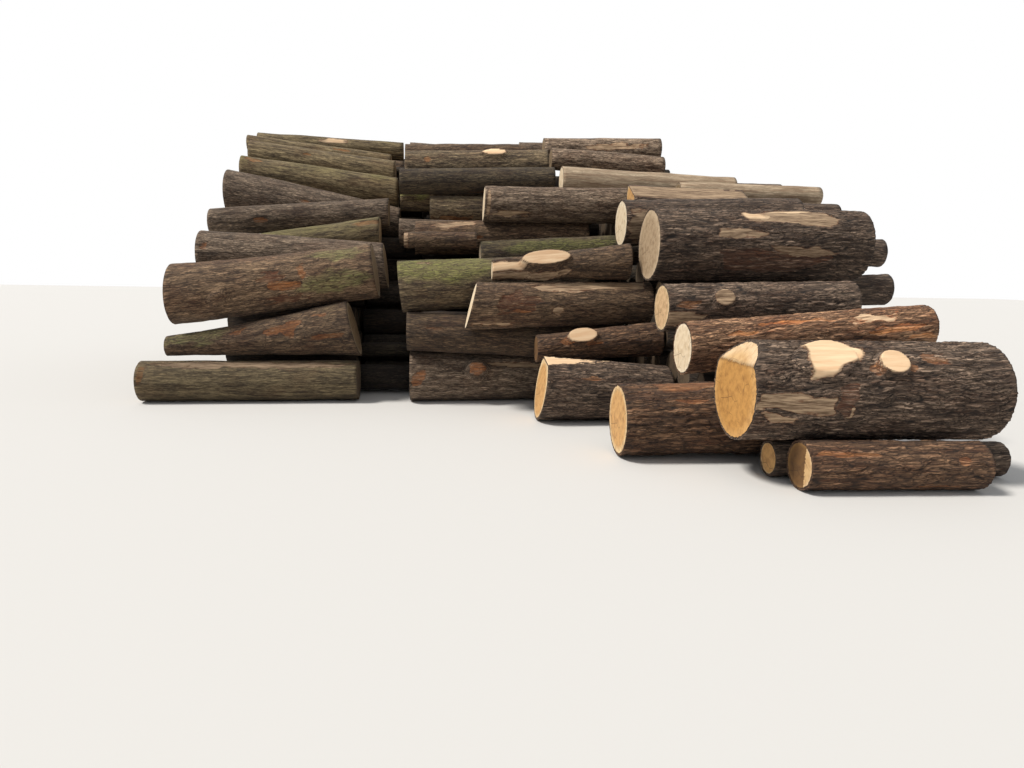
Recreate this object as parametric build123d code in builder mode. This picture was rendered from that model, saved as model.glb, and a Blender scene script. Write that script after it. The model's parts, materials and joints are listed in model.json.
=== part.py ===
from build123d import *
from dataclasses import dataclass
from math import cos, inf, radians, sin, sqrt, tan
import os

os.makedirs("parts", exist_ok=True)

# Lengths are in millimetres. X runs along the logs, Y goes into the heap and Z is up. Places are given
# from the heap's front left corner on the floor, and the finished heap is centred over the origin.

LOG_LENGTH = 2400    # the length that the logs are cut to, give or take their trim
RANK_GAP = 200       # between the log ends of the left and the middle rank
GROUP_GAP = 400      # between the log ends of the middle rank and the right group
SHORT_LENGTH = 1400  # the length of the shorter logs in the right group
RANK_FOOT = 4000     # where the left and middle ranks stand on the floor, along Y
LAYER = 500          # one layer of hidden logs
SEAT_GAP = 0.3       # left between a log and whatever it lies on
SEAT_CHECKS = 33     # places along a log where its seat is tested
FRONT_SLOPE = 45     # degrees, the slope that the core's steps climb under the front logs
BACK_SLOPE = 65      # degrees, the straight back of the core
RISER_GAP = 20       # between a riser of the core and the log beside it

LEFT_RANK = 500      # the left ends of the left rank, along X
MIDDLE_RANK = LEFT_RANK + LOG_LENGTH + RANK_GAP
RIGHT_RANK = MIDDLE_RANK + LOG_LENGTH + GROUP_GAP
SHORT_TRIM = SHORT_LENGTH - LOG_LENGTH


@dataclass
class Log:
    """A log that tapers from its left end to its right end.

    left and y are given from the corner of the log's rank, until place() moves them, and trim is added
    to LOG_LENGTH. y and thick are the place across the heap and the diameter at the two ends. bed is
    how many layers of hidden logs lie under the two ends. slant is how many degrees the ends are sawn
    askew: more than 0 takes off the end's top, less takes off its underside. z is found by settle().
    A log with a neighbour lies on the floor against that log, in front of it (side -1) or behind it
    (side 1).
    """

    name: str
    left: float
    trim: float
    y: tuple
    thick: tuple
    bed: tuple = (0, 0)
    z: tuple = (0, 0)
    neighbour: str = ""
    side: int = 0
    slant: tuple = (0, 0)

    @property
    def length(self):
        return LOG_LENGTH + self.trim

    @property
    def right(self):
        return self.left + self.length

    @property
    def ends(self):
        return self.left, self.right

    def between(self, ends, x):
        share = (x - self.left) / self.length
        return ends[0] + (ends[1] - ends[0]) * share

    def at(self, x):
        return self.between(self.y, x), self.between(self.z, x), self.between(self.thick, x) / 2


@dataclass
class Branch:
    """A branch sawn off close to its log: an oval of wood on a collar that widens into the bark.

    at is the oval's middle, from the log's left end, and angle its place round the log in degrees: 0
    faces the front and 90 faces up. rise is how far the oval stands out of the bark.
    """

    at: float
    angle: float
    length: float
    width: float
    rise: float


@dataclass
class FlatCut:
    """A flat sawn or split face along a log, facing the given angle round it.

    depths are how far the face lies below the bark at the log's left end and at its right end.
    """

    angle: float
    depths: tuple


@dataclass
class FellingStep:
    """The felling cut on a butt end: above the hinge the end leans back from the rest of its face.

    hinge is the hinge's height over the log's middle, and lean is in degrees from upright.
    """

    hinge: float
    lean: float


LEFT_LOGS = [
    Log("left_log_01", -370, 100, y=(20, 60), thick=(500, 500)),
    Log("left_log_02", -100, -140, y=(120, 210), thick=(260, 700), bed=(1.04, 1.06), slant=(0, 14)),
    Log("left_log_03", -70, 40, y=(350, 440), thick=(770, 710), bed=(1.73, 2.39), slant=(0, 8)),
    Log("left_log_04", 100, -70, y=(920, 1150), thick=(640, 640), bed=(2.78, 2.6), slant=(0, 6)),
    Log("left_log_05", 290, -400, y=(1500, 1560), thick=(430, 490), bed=(3.16, 3.69)),
    Log("left_log_06", -50, 40, y=(1800, 1960), thick=(400, 440), bed=(4.04, 4.4)),
    Log("left_log_07", 70, 60, y=(2320, 2460), thick=(730, 490), bed=(4.59, 4.15)),
    Log("left_log_08", 140, -60, y=(2810, 2750), thick=(500, 500), bed=(5.6, 5.06)),
    Log("left_log_09", 170, -150, y=(3210, 3150), thick=(490, 490), bed=(6.21, 5.71)),
    Log("left_log_10", 30, -100, y=(3610, 3550), thick=(300, 300), bed=(6.9, 6.42)),
    Log("left_log_11", 120, 0, y=(3910, 3760), thick=(320, 320), bed=(6.98, 6.86)),
]

MIDDLE_LOGS = [
    Log("middle_log_01", 160, 0, y=(20, 150), thick=(620, 620)),
    Log("middle_log_02", 130, 0, y=(-100, -180), thick=(490, 490)),
    Log("middle_log_03", 10, 0, y=(80, 230), thick=(640, 640), bed=(2.14, 2.4), slant=(-6, 0)),
    Log("middle_log_04", 800, -200, y=(-530, -360), thick=(560, 520), slant=(14, 0)),
    Log("middle_log_05", 1120, -800, y=(-360, -400), thick=(260, 440)),
    Log("middle_log_06", 1050, -100, y=(800, 850), thick=(420, 420), bed=(3.16, 3.46)),
    Log("middle_log_07", 60, -1460, y=(800, 800), thick=(240, 240), bed=(3.72, 3.76)),
    Log("middle_log_08", 190, 0, y=(1300, 1380), thick=(480, 480), bed=(3.6, 3.72)),
    Log("middle_log_09", -50, 0, y=(1730, 1800), thick=(400, 380), bed=(3.86, 3.88)),
    Log("middle_log_10", 1100, -100, y=(1100, 1130), thick=(500, 500), slant=(3, 0)),
    Log("middle_log_11", 380, 0, y=(1960, 1960), thick=(420, 420)),
    Log("middle_log_12", -60, 0, y=(2320, 2320), thick=(400, 400), bed=(4.88, 5.02)),
    Log("middle_log_13", -50, -150, y=(1940, 1980), thick=(370, 430)),
    Log("middle_log_14", 10, -260, y=(2440, 2360), thick=(520, 470), bed=(5.74, 5.98)),
    Log("middle_log_15", -10, -400, y=(2900, 2850), thick=(420, 420), bed=(6.3, 6.42)),
    Log("middle_log_16", 50, -650, y=(3320, 3320), thick=(440, 440), bed=(6.4, 6.4)),
    Log("middle_log_17", 100, -700, y=(3760, 3760), thick=(440, 440), bed=(6.4, 6.4)),
]

FRONT_LOGS = [
    Log("right_log_02", 290, -500, y=(640, 560), thick=(300, 300)),
    Log("right_log_01", 360, SHORT_TRIM - 30, y=(300, 240), thick=(380, 380), neighbour="right_log_02", side=-1),
    Log("right_butt_log", -10, -400, y=(680, 620), thick=(790, 790)),
    Log("right_log_03", -750, -200, y=(1290, 1280), thick=(650, 700), neighbour="right_butt_log", side=1),
    Log("right_log_04", -1250, SHORT_TRIM + 30, y=(2830, 2790), thick=(720, 610), slant=(8, 0)),
    Log("right_log_05", -1210, SHORT_TRIM - 10, y=(3180, 3110), thick=(320, 410), bed=(1.16, 1.33)),
]

RIGHT_LOGS = [
    Log("right_log_06", 0, -40, y=(1880, 1800), thick=(520, 500), bed=(1.26, 1.7)),
    Log("right_log_07", 20, -300, y=(2600, 2660), thick=(520, 520), bed=(1.96, 2.08)),
    Log("right_log_08", 250, 400, y=(3400, 3420), thick=(340, 400), bed=(2.38, 2.5)),
    Log("right_log_09", 50, -20, y=(3230, 3120), thick=(830, 800)),
    Log("right_log_10", 1000, -200, y=(3800, 3800), thick=(360, 360), bed=(3.44, 3.44)),
    Log("right_log_11", -50, -100, y=(4100, 4200), thick=(590, 570), bed=(3.82, 4.06)),
    Log("right_split_log", 220, -800, y=(4660, 4700), thick=(440, 440), bed=(4.74, 4.74)),
    Log("right_log_12", 1860, SHORT_TRIM - 160, y=(4700, 4700), thick=(400, 400), bed=(4.4, 4.4)),
    Log("right_log_13", 1000, -350, y=(5080, 5080), thick=(300, 300), bed=(5.14, 5.14)),
]

TOP_LOGS = [
    Log("top_log_01", -570, 100, y=(1480, 1420), thick=(400, 400), bed=(5.38, 5.08)),
    Log("top_log_02", -470, -1520, y=(1830, 1830), thick=(240, 240), bed=(5.42, 5.46)),
    Log("top_log_03", 550, 0, y=(2050, 2050), thick=(440, 440), bed=(5.16, 5.16)),
    Log("top_log_04", 600, -100, y=(2550, 2560), thick=(440, 440), bed=(5.3, 5.3)),
    Log("top_log_05", 520, 0, y=(3060, 3060), thick=(460, 460), bed=(5.4, 5.4)),
    Log("top_log_06", 580, -50, y=(3560, 3570), thick=(440, 440), bed=(5.4, 5.4)),
    Log("top_log_07", -530, -600, y=(2700, 2650), thick=(360, 360), bed=(6.4, 6.24)),
    Log("top_log_08", -570, -450, y=(3250, 3220), thick=(400, 400), bed=(6.82, 6.94)),
    Log("top_log_09", -920, -80, y=(3700, 3700), thick=(420, 420), bed=(6.8, 6.8)),
]

BRANCHES = {
    "left_log_03": [Branch(at=590, angle=-20, length=190, width=170, rise=25)],
    "middle_log_01": [Branch(at=800, angle=20, length=210, width=170, rise=110)],
    "middle_log_05": [Branch(at=610, angle=35, length=560, width=200, rise=40)],
    "middle_log_14": [Branch(at=1330, angle=45, length=380, width=140, rise=25)],
    "right_butt_log": [
        Branch(at=530, angle=47, length=500, width=300, rise=25),
        Branch(at=1060, angle=40, length=230, width=200, rise=35),
    ],
    "right_log_05": [Branch(at=490, angle=40, length=330, width=190, rise=35)],
    "right_log_07": [Branch(at=580, angle=22, length=220, width=180, rise=30)],
}
COLLAR_FLARE = 25    # degrees, how a collar widens from its oval towards the log's middle

FLAT_CUTS = {
    "right_log_04": FlatCut(angle=82, depths=(55, -30)),
    "right_split_log": FlatCut(angle=60, depths=(170, 150)),
}
FELLING_STEPS = {"right_butt_log": FellingStep(hinge=215, lean=38)}


def place(logs, face, foot):
    """Moves a rank's logs from its corner to its place in the heap."""
    for log in logs:
        log.left += face
        log.y = (log.y[0] + foot, log.y[1] + foot)


place(LEFT_LOGS, LEFT_RANK, RANK_FOOT)
place(MIDDLE_LOGS, MIDDLE_RANK, RANK_FOOT)
place(FRONT_LOGS + RIGHT_LOGS, RIGHT_RANK, 0)
place(TOP_LOGS, RIGHT_RANK, RANK_FOOT)


def beside(log, other, x):
    """Where the axis of a log lies along Y when it rests on the floor against the side of another."""
    other_y, other_z, other_radius = other.at(x)
    radius = log.between(log.thick, x) / 2
    reach = other_radius + radius + SEAT_GAP
    return other_y + log.side * sqrt(reach**2 - (other_z - radius) ** 2)


def settle(log, placed):
    """Lowers a log onto its bed and the logs placed before it, and stores its two end heights.

    At each place along the log the bed and the earlier logs give the least height of its axis. The axis
    lies on the straight line through the two highest spots, one either side of the log's middle.
    """
    places = [log.left + log.length * check / (SEAT_CHECKS - 1) for check in range(SEAT_CHECKS)]
    for other in placed:
        if other.name == log.neighbour:
            left_y, right_y = (beside(log, other, x) for x in log.ends)
            log.y = (left_y, right_y)
            push = max(log.side * (beside(log, other, x) - log.between(log.y, x)) for x in places)
            log.y = (left_y + log.side * push, right_y + log.side * push)
    places += [x for other in placed for x in (other.left, other.right) if log.left < x < log.right]
    spots = []
    for x in places:
        y, _, radius = log.at(x)
        height = log.between(log.bed, x) * LAYER + radius
        for other in placed:
            if other.left <= x <= other.right and other.name != log.neighbour:
                other_y, other_z, other_radius = other.at(x)
                reach = other_radius + radius + SEAT_GAP
                if abs(other_y - y) < reach:
                    height = max(height, other_z + sqrt(reach**2 - (other_y - y) ** 2))
        spots.append((x, height))

    middle = log.left + log.length / 2
    best = -inf
    for x_a, z_a in spots:
        for x_b, z_b in spots:
            if x_a < middle < x_b:
                slope = (z_b - z_a) / (x_b - x_a)
                at_middle = z_a + slope * (middle - x_a)
                if at_middle > best:
                    best = at_middle
                    log.z = (z_a + slope * (log.left - x_a), z_a + slope * (log.right - x_a))


placed_logs = []
for log in LEFT_LOGS + FRONT_LOGS + MIDDLE_LOGS + RIGHT_LOGS + TOP_LOGS:
    settle(log, placed_logs)
    placed_logs.append(log)


# The back of the heap: plain logs that lie against the core's straight back, one on another. The back
# passes just behind the rearmost of the logs placed so far.

rear_feet = []
for log in placed_logs:
    for x in log.ends:
        y, z, radius = log.at(x)
        rear_feet.append(y + z / tan(radians(BACK_SLOPE)) + radius / sin(radians(BACK_SLOPE)))
back_foot = max(rear_feet)
BACK_ROWS = {
    "left_back_logs": (LEFT_RANK + 20, 50, (700, 640, 760, 600, 700, 560)),
    "middle_back_logs": (MIDDLE_RANK + 60, 50, (640, 740, 620, 700, 660, 600)),
    "right_back_logs": (RIGHT_RANK + 200, 200, (720, 660, 600, 680, 560, 480)),
}
BACK_STAGGER = (0, 90, -40, 60, -70, 30)     # how far the logs of a row are pushed along X


def back_row(name, left, trim, thicks):
    """Stacks a row of level logs up the core's back, the first of them on the floor."""
    slope = radians(BACK_SLOPE)
    row = []
    for thick, push in zip(thicks, BACK_STAGGER):
        radius = thick / 2
        if row:
            below = row[-1]
            step = sqrt((below_radius + radius + SEAT_GAP) ** 2 - (below_radius - radius) ** 2)
            out = radius - below_radius
            y = below.y[0] - step * cos(slope) + out * sin(slope)
            z = below.z[0] + step * sin(slope) + out * cos(slope)
        else:
            z = radius
            y = back_foot + (radius + SEAT_GAP - z * cos(slope)) / sin(slope)
        row.append(Log(name, left + push, trim, (y, y), (thick, thick), z=(z, z)))
        below_radius = radius
    return row


back_rows = {name: back_row(name, *sizes) for name, sizes in BACK_ROWS.items()}


# The hidden core: blocks side by side along X, each from one of these faces to the next. A block's
# steps carry the logs that lie behind its front.

short_logs_end = max(log.right for log in FRONT_LOGS if log.name in ("right_log_04", "right_log_05"))
CORE_FACES = [
    LEFT_RANK + 350,
    MIDDLE_RANK - 550,
    MIDDLE_RANK + 250,
    MIDDLE_RANK + 1020,
    MIDDLE_RANK + 1700,
    short_logs_end + RISER_GAP,
    RIGHT_RANK + 1840,
    RIGHT_RANK + 2900,
]
CORE_FRONTS = [RANK_FOOT - 100, RANK_FOOT + 1000, RANK_FOOT - 100, RANK_FOOT - 100, 2700, 1200, 3200]


def along(y, z):
    """How far a point lies up the front slope."""
    return y * cos(radians(FRONT_SLOPE)) + z * sin(radians(FRONT_SLOPE))


def above(y, z):
    """How far a point stands out of the front slope."""
    return z * cos(radians(FRONT_SLOPE)) - y * sin(radians(FRONT_SLOPE))


def off_slope(up, out):
    """The point (y, z) that lies so far up the front slope and stands so far out of it."""
    slope = radians(FRONT_SLOPE)
    return up * cos(slope) - out * sin(slope), up * sin(slope) + out * cos(slope)


def slope_spots(log, face_a, face_b):
    """The log's sections between two block faces, as (up the slope, out of it, radius)."""
    spots = []
    for check in range(SEAT_CHECKS):
        x = log.left + log.length * check / (SEAT_CHECKS - 1)
        if face_a - SEAT_GAP <= x <= face_b + SEAT_GAP:
            y, z, radius = log.at(x)
            spots.append((along(y, z), above(y, z), radius))
    for x in (face_a, face_b):
        if log.left <= x <= log.right:
            y, z, radius = log.at(x)
            spots.append((along(y, z), above(y, z), radius))
    return spots


def side_reach(out, radius, level):
    """How far a round section reaches sideways below a level, measured from its centre."""
    if level >= out:
        return radius
    return sqrt(max(radius**2 - (out - level) ** 2, 0))


def core_steps(face_a, face_b, front):
    """The bearing logs of a block in order up the slope, as [their spots, depth of their tread]."""
    spots = {}
    for log in placed_logs:
        found = slope_spots(log, face_a, face_b)
        if found:
            spots[log.name] = found
    steps = []
    for log in placed_logs:
        if log.name not in spots or min(log.y) < front:
            continue
        depth, up = min((out - radius - SEAT_GAP, up) for up, out, radius in spots[log.name])
        covered = False
        for name, others in spots.items():
            for other_up, other_out, other_radius in others:
                across = abs(other_up - up)
                if name != log.name and across < other_radius:
                    covered = covered or other_out - sqrt(other_radius**2 - across**2) < depth
        if not covered:
            steps.append((up, depth, spots[log.name]))
    return sorted(steps)


def core_profile(face_a, face_b, front):
    """The outline of a block: treads tangent to its bearing logs, risers between, a straight back.

    It is drawn from a layer below the floor, where the finished core is cut level.
    """
    steps = core_steps(face_a, face_b, front)
    risers = []
    for (_, low_depth, low_spots), (_, high_depth, high_spots) in zip(steps, steps[1:]):
        if low_depth > high_depth:
            riser = min(up - side_reach(out, radius, low_depth) for up, out, radius in high_spots)
            risers.append(riser - RISER_GAP)
        else:
            riser = max(up + side_reach(out, radius, high_depth) for up, out, radius in low_spots)
            risers.append(riser + RISER_GAP)

    spots = [spot for log in placed_logs for spot in slope_spots(log, face_a, face_b)]
    depths = []
    for (_, depth, _), low_riser, high_riser in zip(steps, [-inf] + risers, risers + [inf]):
        for up, out, radius in spots:
            aside = max(low_riser - up, up - high_riser, 0)
            if aside < radius:
                depth = min(depth, out - sqrt(radius**2 - aside**2) - SEAT_GAP)
        depths.append(depth)

    start_up = (-LAYER - depths[0] * cos(radians(FRONT_SLOPE))) / sin(radians(FRONT_SLOPE))
    points = [off_slope(start_up, depths[0])]
    for riser, low_depth, high_depth in zip(risers, depths, depths[1:]):
        points.append(off_slope(riser, low_depth))
        points.append(off_slope(riser, high_depth))
    last_y, last_z = off_slope(0, depths[-1])
    rise_front = tan(radians(FRONT_SLOPE))
    rise_back = tan(radians(BACK_SLOPE))
    crest_y = (back_foot * rise_back - last_z + last_y * rise_front) / (rise_front + rise_back)
    points.append((crest_y, (back_foot - crest_y) * rise_back))
    points.append((back_foot + LAYER / rise_back, -LAYER))
    return points


# The heap is centred over the origin.

all_logs = placed_logs + [log for row in back_rows.values() for log in row]
reach_left = min(log.left for log in all_logs)
reach_right = max(log.right for log in all_logs)
reach_front = min(y - thick / 2 for log in all_logs for y, thick in zip(log.y, log.thick))
reach_back = max(y + thick / 2 for log in all_logs for y, thick in zip(log.y, log.thick))
middle_x = (reach_left + reach_right) / 2
middle_y = (reach_front + reach_back) / 2


def cross_plane(x):
    """The upright plane across the heap at x, whose own axes are Y and Z."""
    return Plane((x - middle_x, -middle_y, 0), x_dir=(0, 1, 0), z_dir=(1, 0, 0))


def facing(angle):
    """The direction that faces an angle round a log: 0 is the front and 90 is up."""
    return Vector(0, -cos(radians(angle)), sin(radians(angle)))


def out_of_axis(log, x, angle, reach):
    """The point that lies so far from a log's axis at x, towards an angle round it."""
    y, z, _ = log.at(x)
    return Vector(x - middle_x, y - middle_y, z) + facing(angle) * reach


def end_plane(log, x, slant):
    """The plane of a slanted end, which keeps the lowest or the highest point of the square end."""
    outward = -1 if x == log.left else 1
    kept = -90 if slant > 0 else 90
    _, _, radius = log.at(x)
    normal = Vector(outward * cos(radians(slant)), 0, sin(radians(slant)))
    return Plane(out_of_axis(log, x, kept, radius), x_dir=(0, 1, 0), z_dir=normal)


def flat_plane(log, cut):
    """The plane of a flat face along a log."""
    left, right = (
        out_of_axis(log, x, cut.angle, log.at(x)[2] - depth) for x, depth in zip(log.ends, cut.depths)
    )
    along_face = right - left
    across = along_face.cross(facing(cut.angle))
    return Plane(left, x_dir=along_face, z_dir=across.cross(along_face))


def felling_plane(log, step):
    """The plane that leans back from the hinge line of a felling cut."""
    hinge = out_of_axis(log, log.left, 90, step.hinge)
    normal = (-cos(radians(step.lean)), 0, sin(radians(step.lean)))
    return Plane(hinge, x_dir=(0, 1, 0), z_dir=normal)


for log in placed_logs:
    with BuildPart() as trunk:
        for x in log.ends:
            y, z, radius = log.at(x)
            with BuildSketch(cross_plane(x)):
                with Locations((y, z)):
                    Circle(radius)
        loft(ruled=True)
        for branch in BRANCHES.get(log.name, []):
            x = log.left + branch.at
            _, _, radius = log.at(x)
            root = radius / 2 + branch.rise
            spread = root * tan(radians(COLLAR_FLARE))
            for reach, grown in ((radius + branch.rise, 0), (radius / 2, spread)):
                centre = out_of_axis(log, x, branch.angle, reach)
                with BuildSketch(Plane(centre, x_dir=(1, 0, 0), z_dir=facing(branch.angle))):
                    Ellipse(branch.length / 2 + grown, branch.width / 2 + grown)
            loft(ruled=True)
        for x, slant in zip(log.ends, log.slant):
            if slant:
                split(bisect_by=end_plane(log, x, slant), keep=Keep.BOTTOM)
        if log.name in FLAT_CUTS:
            split(bisect_by=flat_plane(log, FLAT_CUTS[log.name]), keep=Keep.BOTTOM)
        if log.name in FELLING_STEPS:
            split(bisect_by=felling_plane(log, FELLING_STEPS[log.name]), keep=Keep.BOTTOM)
    trunk.part.label = log.name
    export_step(trunk.part, f"parts/{log.name}.step")

for name, row in back_rows.items():
    with BuildPart() as back_logs:
        for log in row:
            y, z, radius = log.at(log.left)
            with BuildSketch(cross_plane(log.left)):
                with Locations((y, z)):
                    Circle(radius)
            extrude(amount=log.length)
    back_logs.part.label = name
    export_step(back_logs.part, f"parts/{name}.step")

with BuildPart() as hidden_core:
    for face_a, face_b, front in zip(CORE_FACES, CORE_FACES[1:], CORE_FRONTS):
        with BuildSketch(cross_plane(face_a)):
            with BuildLine():
                Polyline(*core_profile(face_a, face_b, front), close=True)
            make_face()
        extrude(amount=face_b - face_a)
    split(bisect_by=Plane.XY, keep=Keep.TOP)
hidden_core.part.label = "hidden_core"
export_step(hidden_core.part, "parts/hidden_core.step")
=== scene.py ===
"""A heap of cut logs in bark, dressed round its fixed frame of plain tapered logs."""

import json
import logging
import math
import zlib
from collections.abc import Callable
from dataclasses import dataclass, field
from enum import Enum, IntEnum
from functools import partial

import bpy
import numpy as np
from mathutils import Matrix, Vector

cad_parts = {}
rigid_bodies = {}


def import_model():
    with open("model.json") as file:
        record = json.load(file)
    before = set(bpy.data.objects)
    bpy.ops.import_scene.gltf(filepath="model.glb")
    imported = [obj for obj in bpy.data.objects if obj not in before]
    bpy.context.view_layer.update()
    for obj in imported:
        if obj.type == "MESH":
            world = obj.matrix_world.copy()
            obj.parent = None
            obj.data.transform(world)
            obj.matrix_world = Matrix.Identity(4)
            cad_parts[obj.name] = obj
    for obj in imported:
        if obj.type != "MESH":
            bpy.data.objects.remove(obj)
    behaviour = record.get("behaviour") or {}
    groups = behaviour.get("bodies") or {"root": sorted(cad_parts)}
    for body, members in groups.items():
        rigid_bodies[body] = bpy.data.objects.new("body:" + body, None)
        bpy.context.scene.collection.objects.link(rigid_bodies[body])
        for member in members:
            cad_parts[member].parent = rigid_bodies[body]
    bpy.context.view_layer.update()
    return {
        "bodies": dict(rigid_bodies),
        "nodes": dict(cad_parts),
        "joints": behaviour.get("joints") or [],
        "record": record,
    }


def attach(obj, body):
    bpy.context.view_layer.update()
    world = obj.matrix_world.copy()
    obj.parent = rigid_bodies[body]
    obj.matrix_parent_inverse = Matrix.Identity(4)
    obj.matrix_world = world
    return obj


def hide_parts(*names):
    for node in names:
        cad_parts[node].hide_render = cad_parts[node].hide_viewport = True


BODY = "root"
TURN = 2 * math.pi

# Further than any distance that is compared here.
FAR = 9.0

# A colour mix: the settings of the Mix node, and the number of its colour output.
COLOURS = {"data_type": "RGBA", "out": 2}

# The type of add_node once it is bound to a tree.
AddNode = Callable[..., bpy.types.NodeSocket]

log_out = logging.getLogger("heap_of_logs")


def linear(colour: str) -> tuple[float, float, float, float]:
    """Turns an sRGB hex colour such as "8a6b4f" into linear red, green, blue and alpha.

    Args:
        colour: six hex digits.

    Returns:
        The four linear channels, alpha being 1.
    """
    channels = [int(colour[i : i + 2], 16) / 255 for i in (0, 2, 4)]
    bent = [c / 12.92 if c <= 0.04045 else ((c + 0.055) / 1.055) ** 2.4 for c in channels]
    return bent[0], bent[1], bent[2], 1.0


def add_node(
    tree: bpy.types.NodeTree,
    kind: str,
    links: dict[str | int, object] | None = None,
    out: str | int = 0,
    **settings: object,
) -> bpy.types.NodeSocket | None:
    """Adds one shader node with its settings and links.

    Args:
        tree: the node tree that gets it.
        kind: the node's Blender type name without the ShaderNode in front.
        links: input name or number to an output socket, or to a plain value.
        out: name or number of the output that is handed back.
        settings: the node's own properties.

    Returns:
        That output, or None from a node that has none.
    """
    node = tree.nodes.new("ShaderNode" + kind)
    for name, value in settings.items():
        setattr(node, name, value)
    for name, value in (links or {}).items():
        if isinstance(value, bpy.types.NodeSocket):
            tree.links.new(value, node.inputs[name])
        else:
            node.inputs[name].default_value = value
    return node.outputs[out] if len(node.outputs) else None


def smooth_noise(
    rng: np.random.Generator, along: np.ndarray, around: np.ndarray, cells: tuple[int, int]
) -> np.ndarray:
    """Smooth random values from 0 to 1 on a log's surface, joined where the surface closes.

    A lattice of random numbers is blended between its four nearest points with the smooth step
    3t^2 - 2t^3. It wraps round in the second direction.

    Args:
        rng: the random source.
        along: place along the log, 0 to 1.
        around: place round the log in whole turns; any real number.
        cells: lattice cells along and around.

    Returns:
        An array of the shape of along and around.
    """
    cells_along, cells_around = max(cells[0], 1), max(cells[1], 3)
    lattice = rng.random((cells_along + 2, cells_around))
    a = np.clip(along, 0, 1) * cells_along
    b = np.mod(around, 1.0) * cells_around
    i, j = np.floor(a).astype(int), np.floor(b).astype(int) % cells_around
    fa, fb = a - np.floor(a), b - np.floor(b)
    fa, fb = fa * fa * (3 - 2 * fa), fb * fb * (3 - 2 * fb)
    next_j = (j + 1) % cells_around
    low = lattice[i, j] * (1 - fb) + lattice[i, next_j] * fb
    high = lattice[i + 1, j] * (1 - fb) + lattice[i + 1, next_j] * fb
    return low * (1 - fa) + high * fa


def plate_edges(
    rng: np.random.Generator, along: np.ndarray, around: np.ndarray, cells: tuple[int, int]
) -> np.ndarray:
    """How far a place lies from the edge of its bark plate, in plate widths.

    One seed lies at random in each cell of a lattice that wraps round the log. The value is the
    distance to the second nearest seed less that to the nearest, so it is 0 on an edge.

    Args:
        rng: the random source.
        along: place along the log, 0 to 1.
        around: place round the log in whole turns; any real number.
        cells: plates along and around.

    Returns:
        An array of the shape of along and around.
    """
    count_along, count_around = max(cells[0], 1), max(cells[1], 3)
    seeds = rng.random((count_along + 3, count_around, 2))
    a, b = np.clip(along, 0, 1) * count_along, around * count_around
    i, j = np.floor(a).astype(int), np.floor(b).astype(int)
    nearest = np.full(a.shape, FAR)
    second = np.full(a.shape, FAR)
    for row in (-1, 0, 1):
        for column in (-1, 0, 1):
            seed = seeds[i + row + 1, (j + column) % count_around]
            away = np.hypot(i + row + seed[..., 0] - a, j + column + seed[..., 1] - b)
            second = np.minimum(second, np.maximum(nearest, away))
            nearest = np.minimum(nearest, away)
    return second - nearest


def inside_distance(spots: np.ndarray, segments: np.ndarray) -> np.ndarray:
    """How far each spot lies inside an outline: its distance to the nearest segment, or below 0.

    A spot is inside if a line from it in the first direction crosses the outline an odd number
    of times.

    Args:
        spots: points, shape (n, 2).
        segments: the outline's segments, shape (m, 2 ends, 2).

    Returns:
        One distance per spot.
    """
    a, b = segments[:, 0][None], segments[:, 1][None]
    p = spots[:, None]
    along = b - a
    share = ((p - a) * along).sum(-1) / np.maximum((along**2).sum(-1), 1e-12)
    distance = np.linalg.norm(p - a - along * np.clip(share, 0, 1)[..., None], axis=-1).min(axis=1)
    crosses = (a[..., 1] > p[..., 1]) != (b[..., 1] > p[..., 1])
    height = np.where(b[..., 1] == a[..., 1], 1.0, b[..., 1] - a[..., 1])
    meeting = a[..., 0] + (p[..., 1] - a[..., 1]) / height * (b[..., 0] - a[..., 0])
    inside = (crosses & (meeting > p[..., 0])).sum(axis=1) % 2 == 1
    return np.where(inside, distance, -distance)


def step(low: float, high: float, value: np.ndarray) -> np.ndarray:
    """Rises smoothly from 0 at low to 1 at high."""
    share = np.clip((value - low) / (high - low), 0, 1)
    return share * share * (3 - 2 * share)


def turn_from(angle: np.ndarray, middle: float) -> np.ndarray:
    """The turn from a middle given in degrees, from -pi to pi."""
    return np.mod(angle - math.radians(middle) + math.pi, TURN) - math.pi


@dataclass(frozen=True)
class WoodFinish:
    """What all the finishes share: a name, a matt surface, and the brightness painted on the log."""

    name: str

    def start(self) -> tuple[bpy.types.Material, AddNode]:
        """Makes the finish's empty material.

        Returns:
            The material, and add_node bound to its tree.
        """
        material = bpy.data.materials.new(self.name)
        material.use_nodes = True
        material.node_tree.nodes.clear()
        return material, partial(add_node, material.node_tree)

    def end(
        self,
        add: AddNode,
        colour: bpy.types.NodeSocket,
        height: bpy.types.NodeSocket,
        bump: tuple[float, float],
        roughness: float,
    ) -> None:
        """Turns a colour and a height into the material's surface.

        Args:
            add: add_node bound to the material's tree.
            colour: the colour before the log's brightness: partly its own tone, partly painted light and
                shade.
            height: the fine relief.
            bump: the relief's strength, and its depth in metres.
            roughness: how matt the surface is.
        """
        # The tone attribute scales the colour: partly the log's own tone, partly painted light and
        # shade.
        tone = add("Attribute", out="Fac", attribute_name="tone")
        colour = add("HueSaturation", {"Color": colour, "Value": tone})
        normal = add("Bump", {"Height": height, "Strength": bump[0], "Distance": bump[1]})
        shader = add("BsdfPrincipled", {"Base Color": colour, "Roughness": roughness, "Normal": normal})
        add("OutputMaterial", {"Surface": shader})


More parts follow.
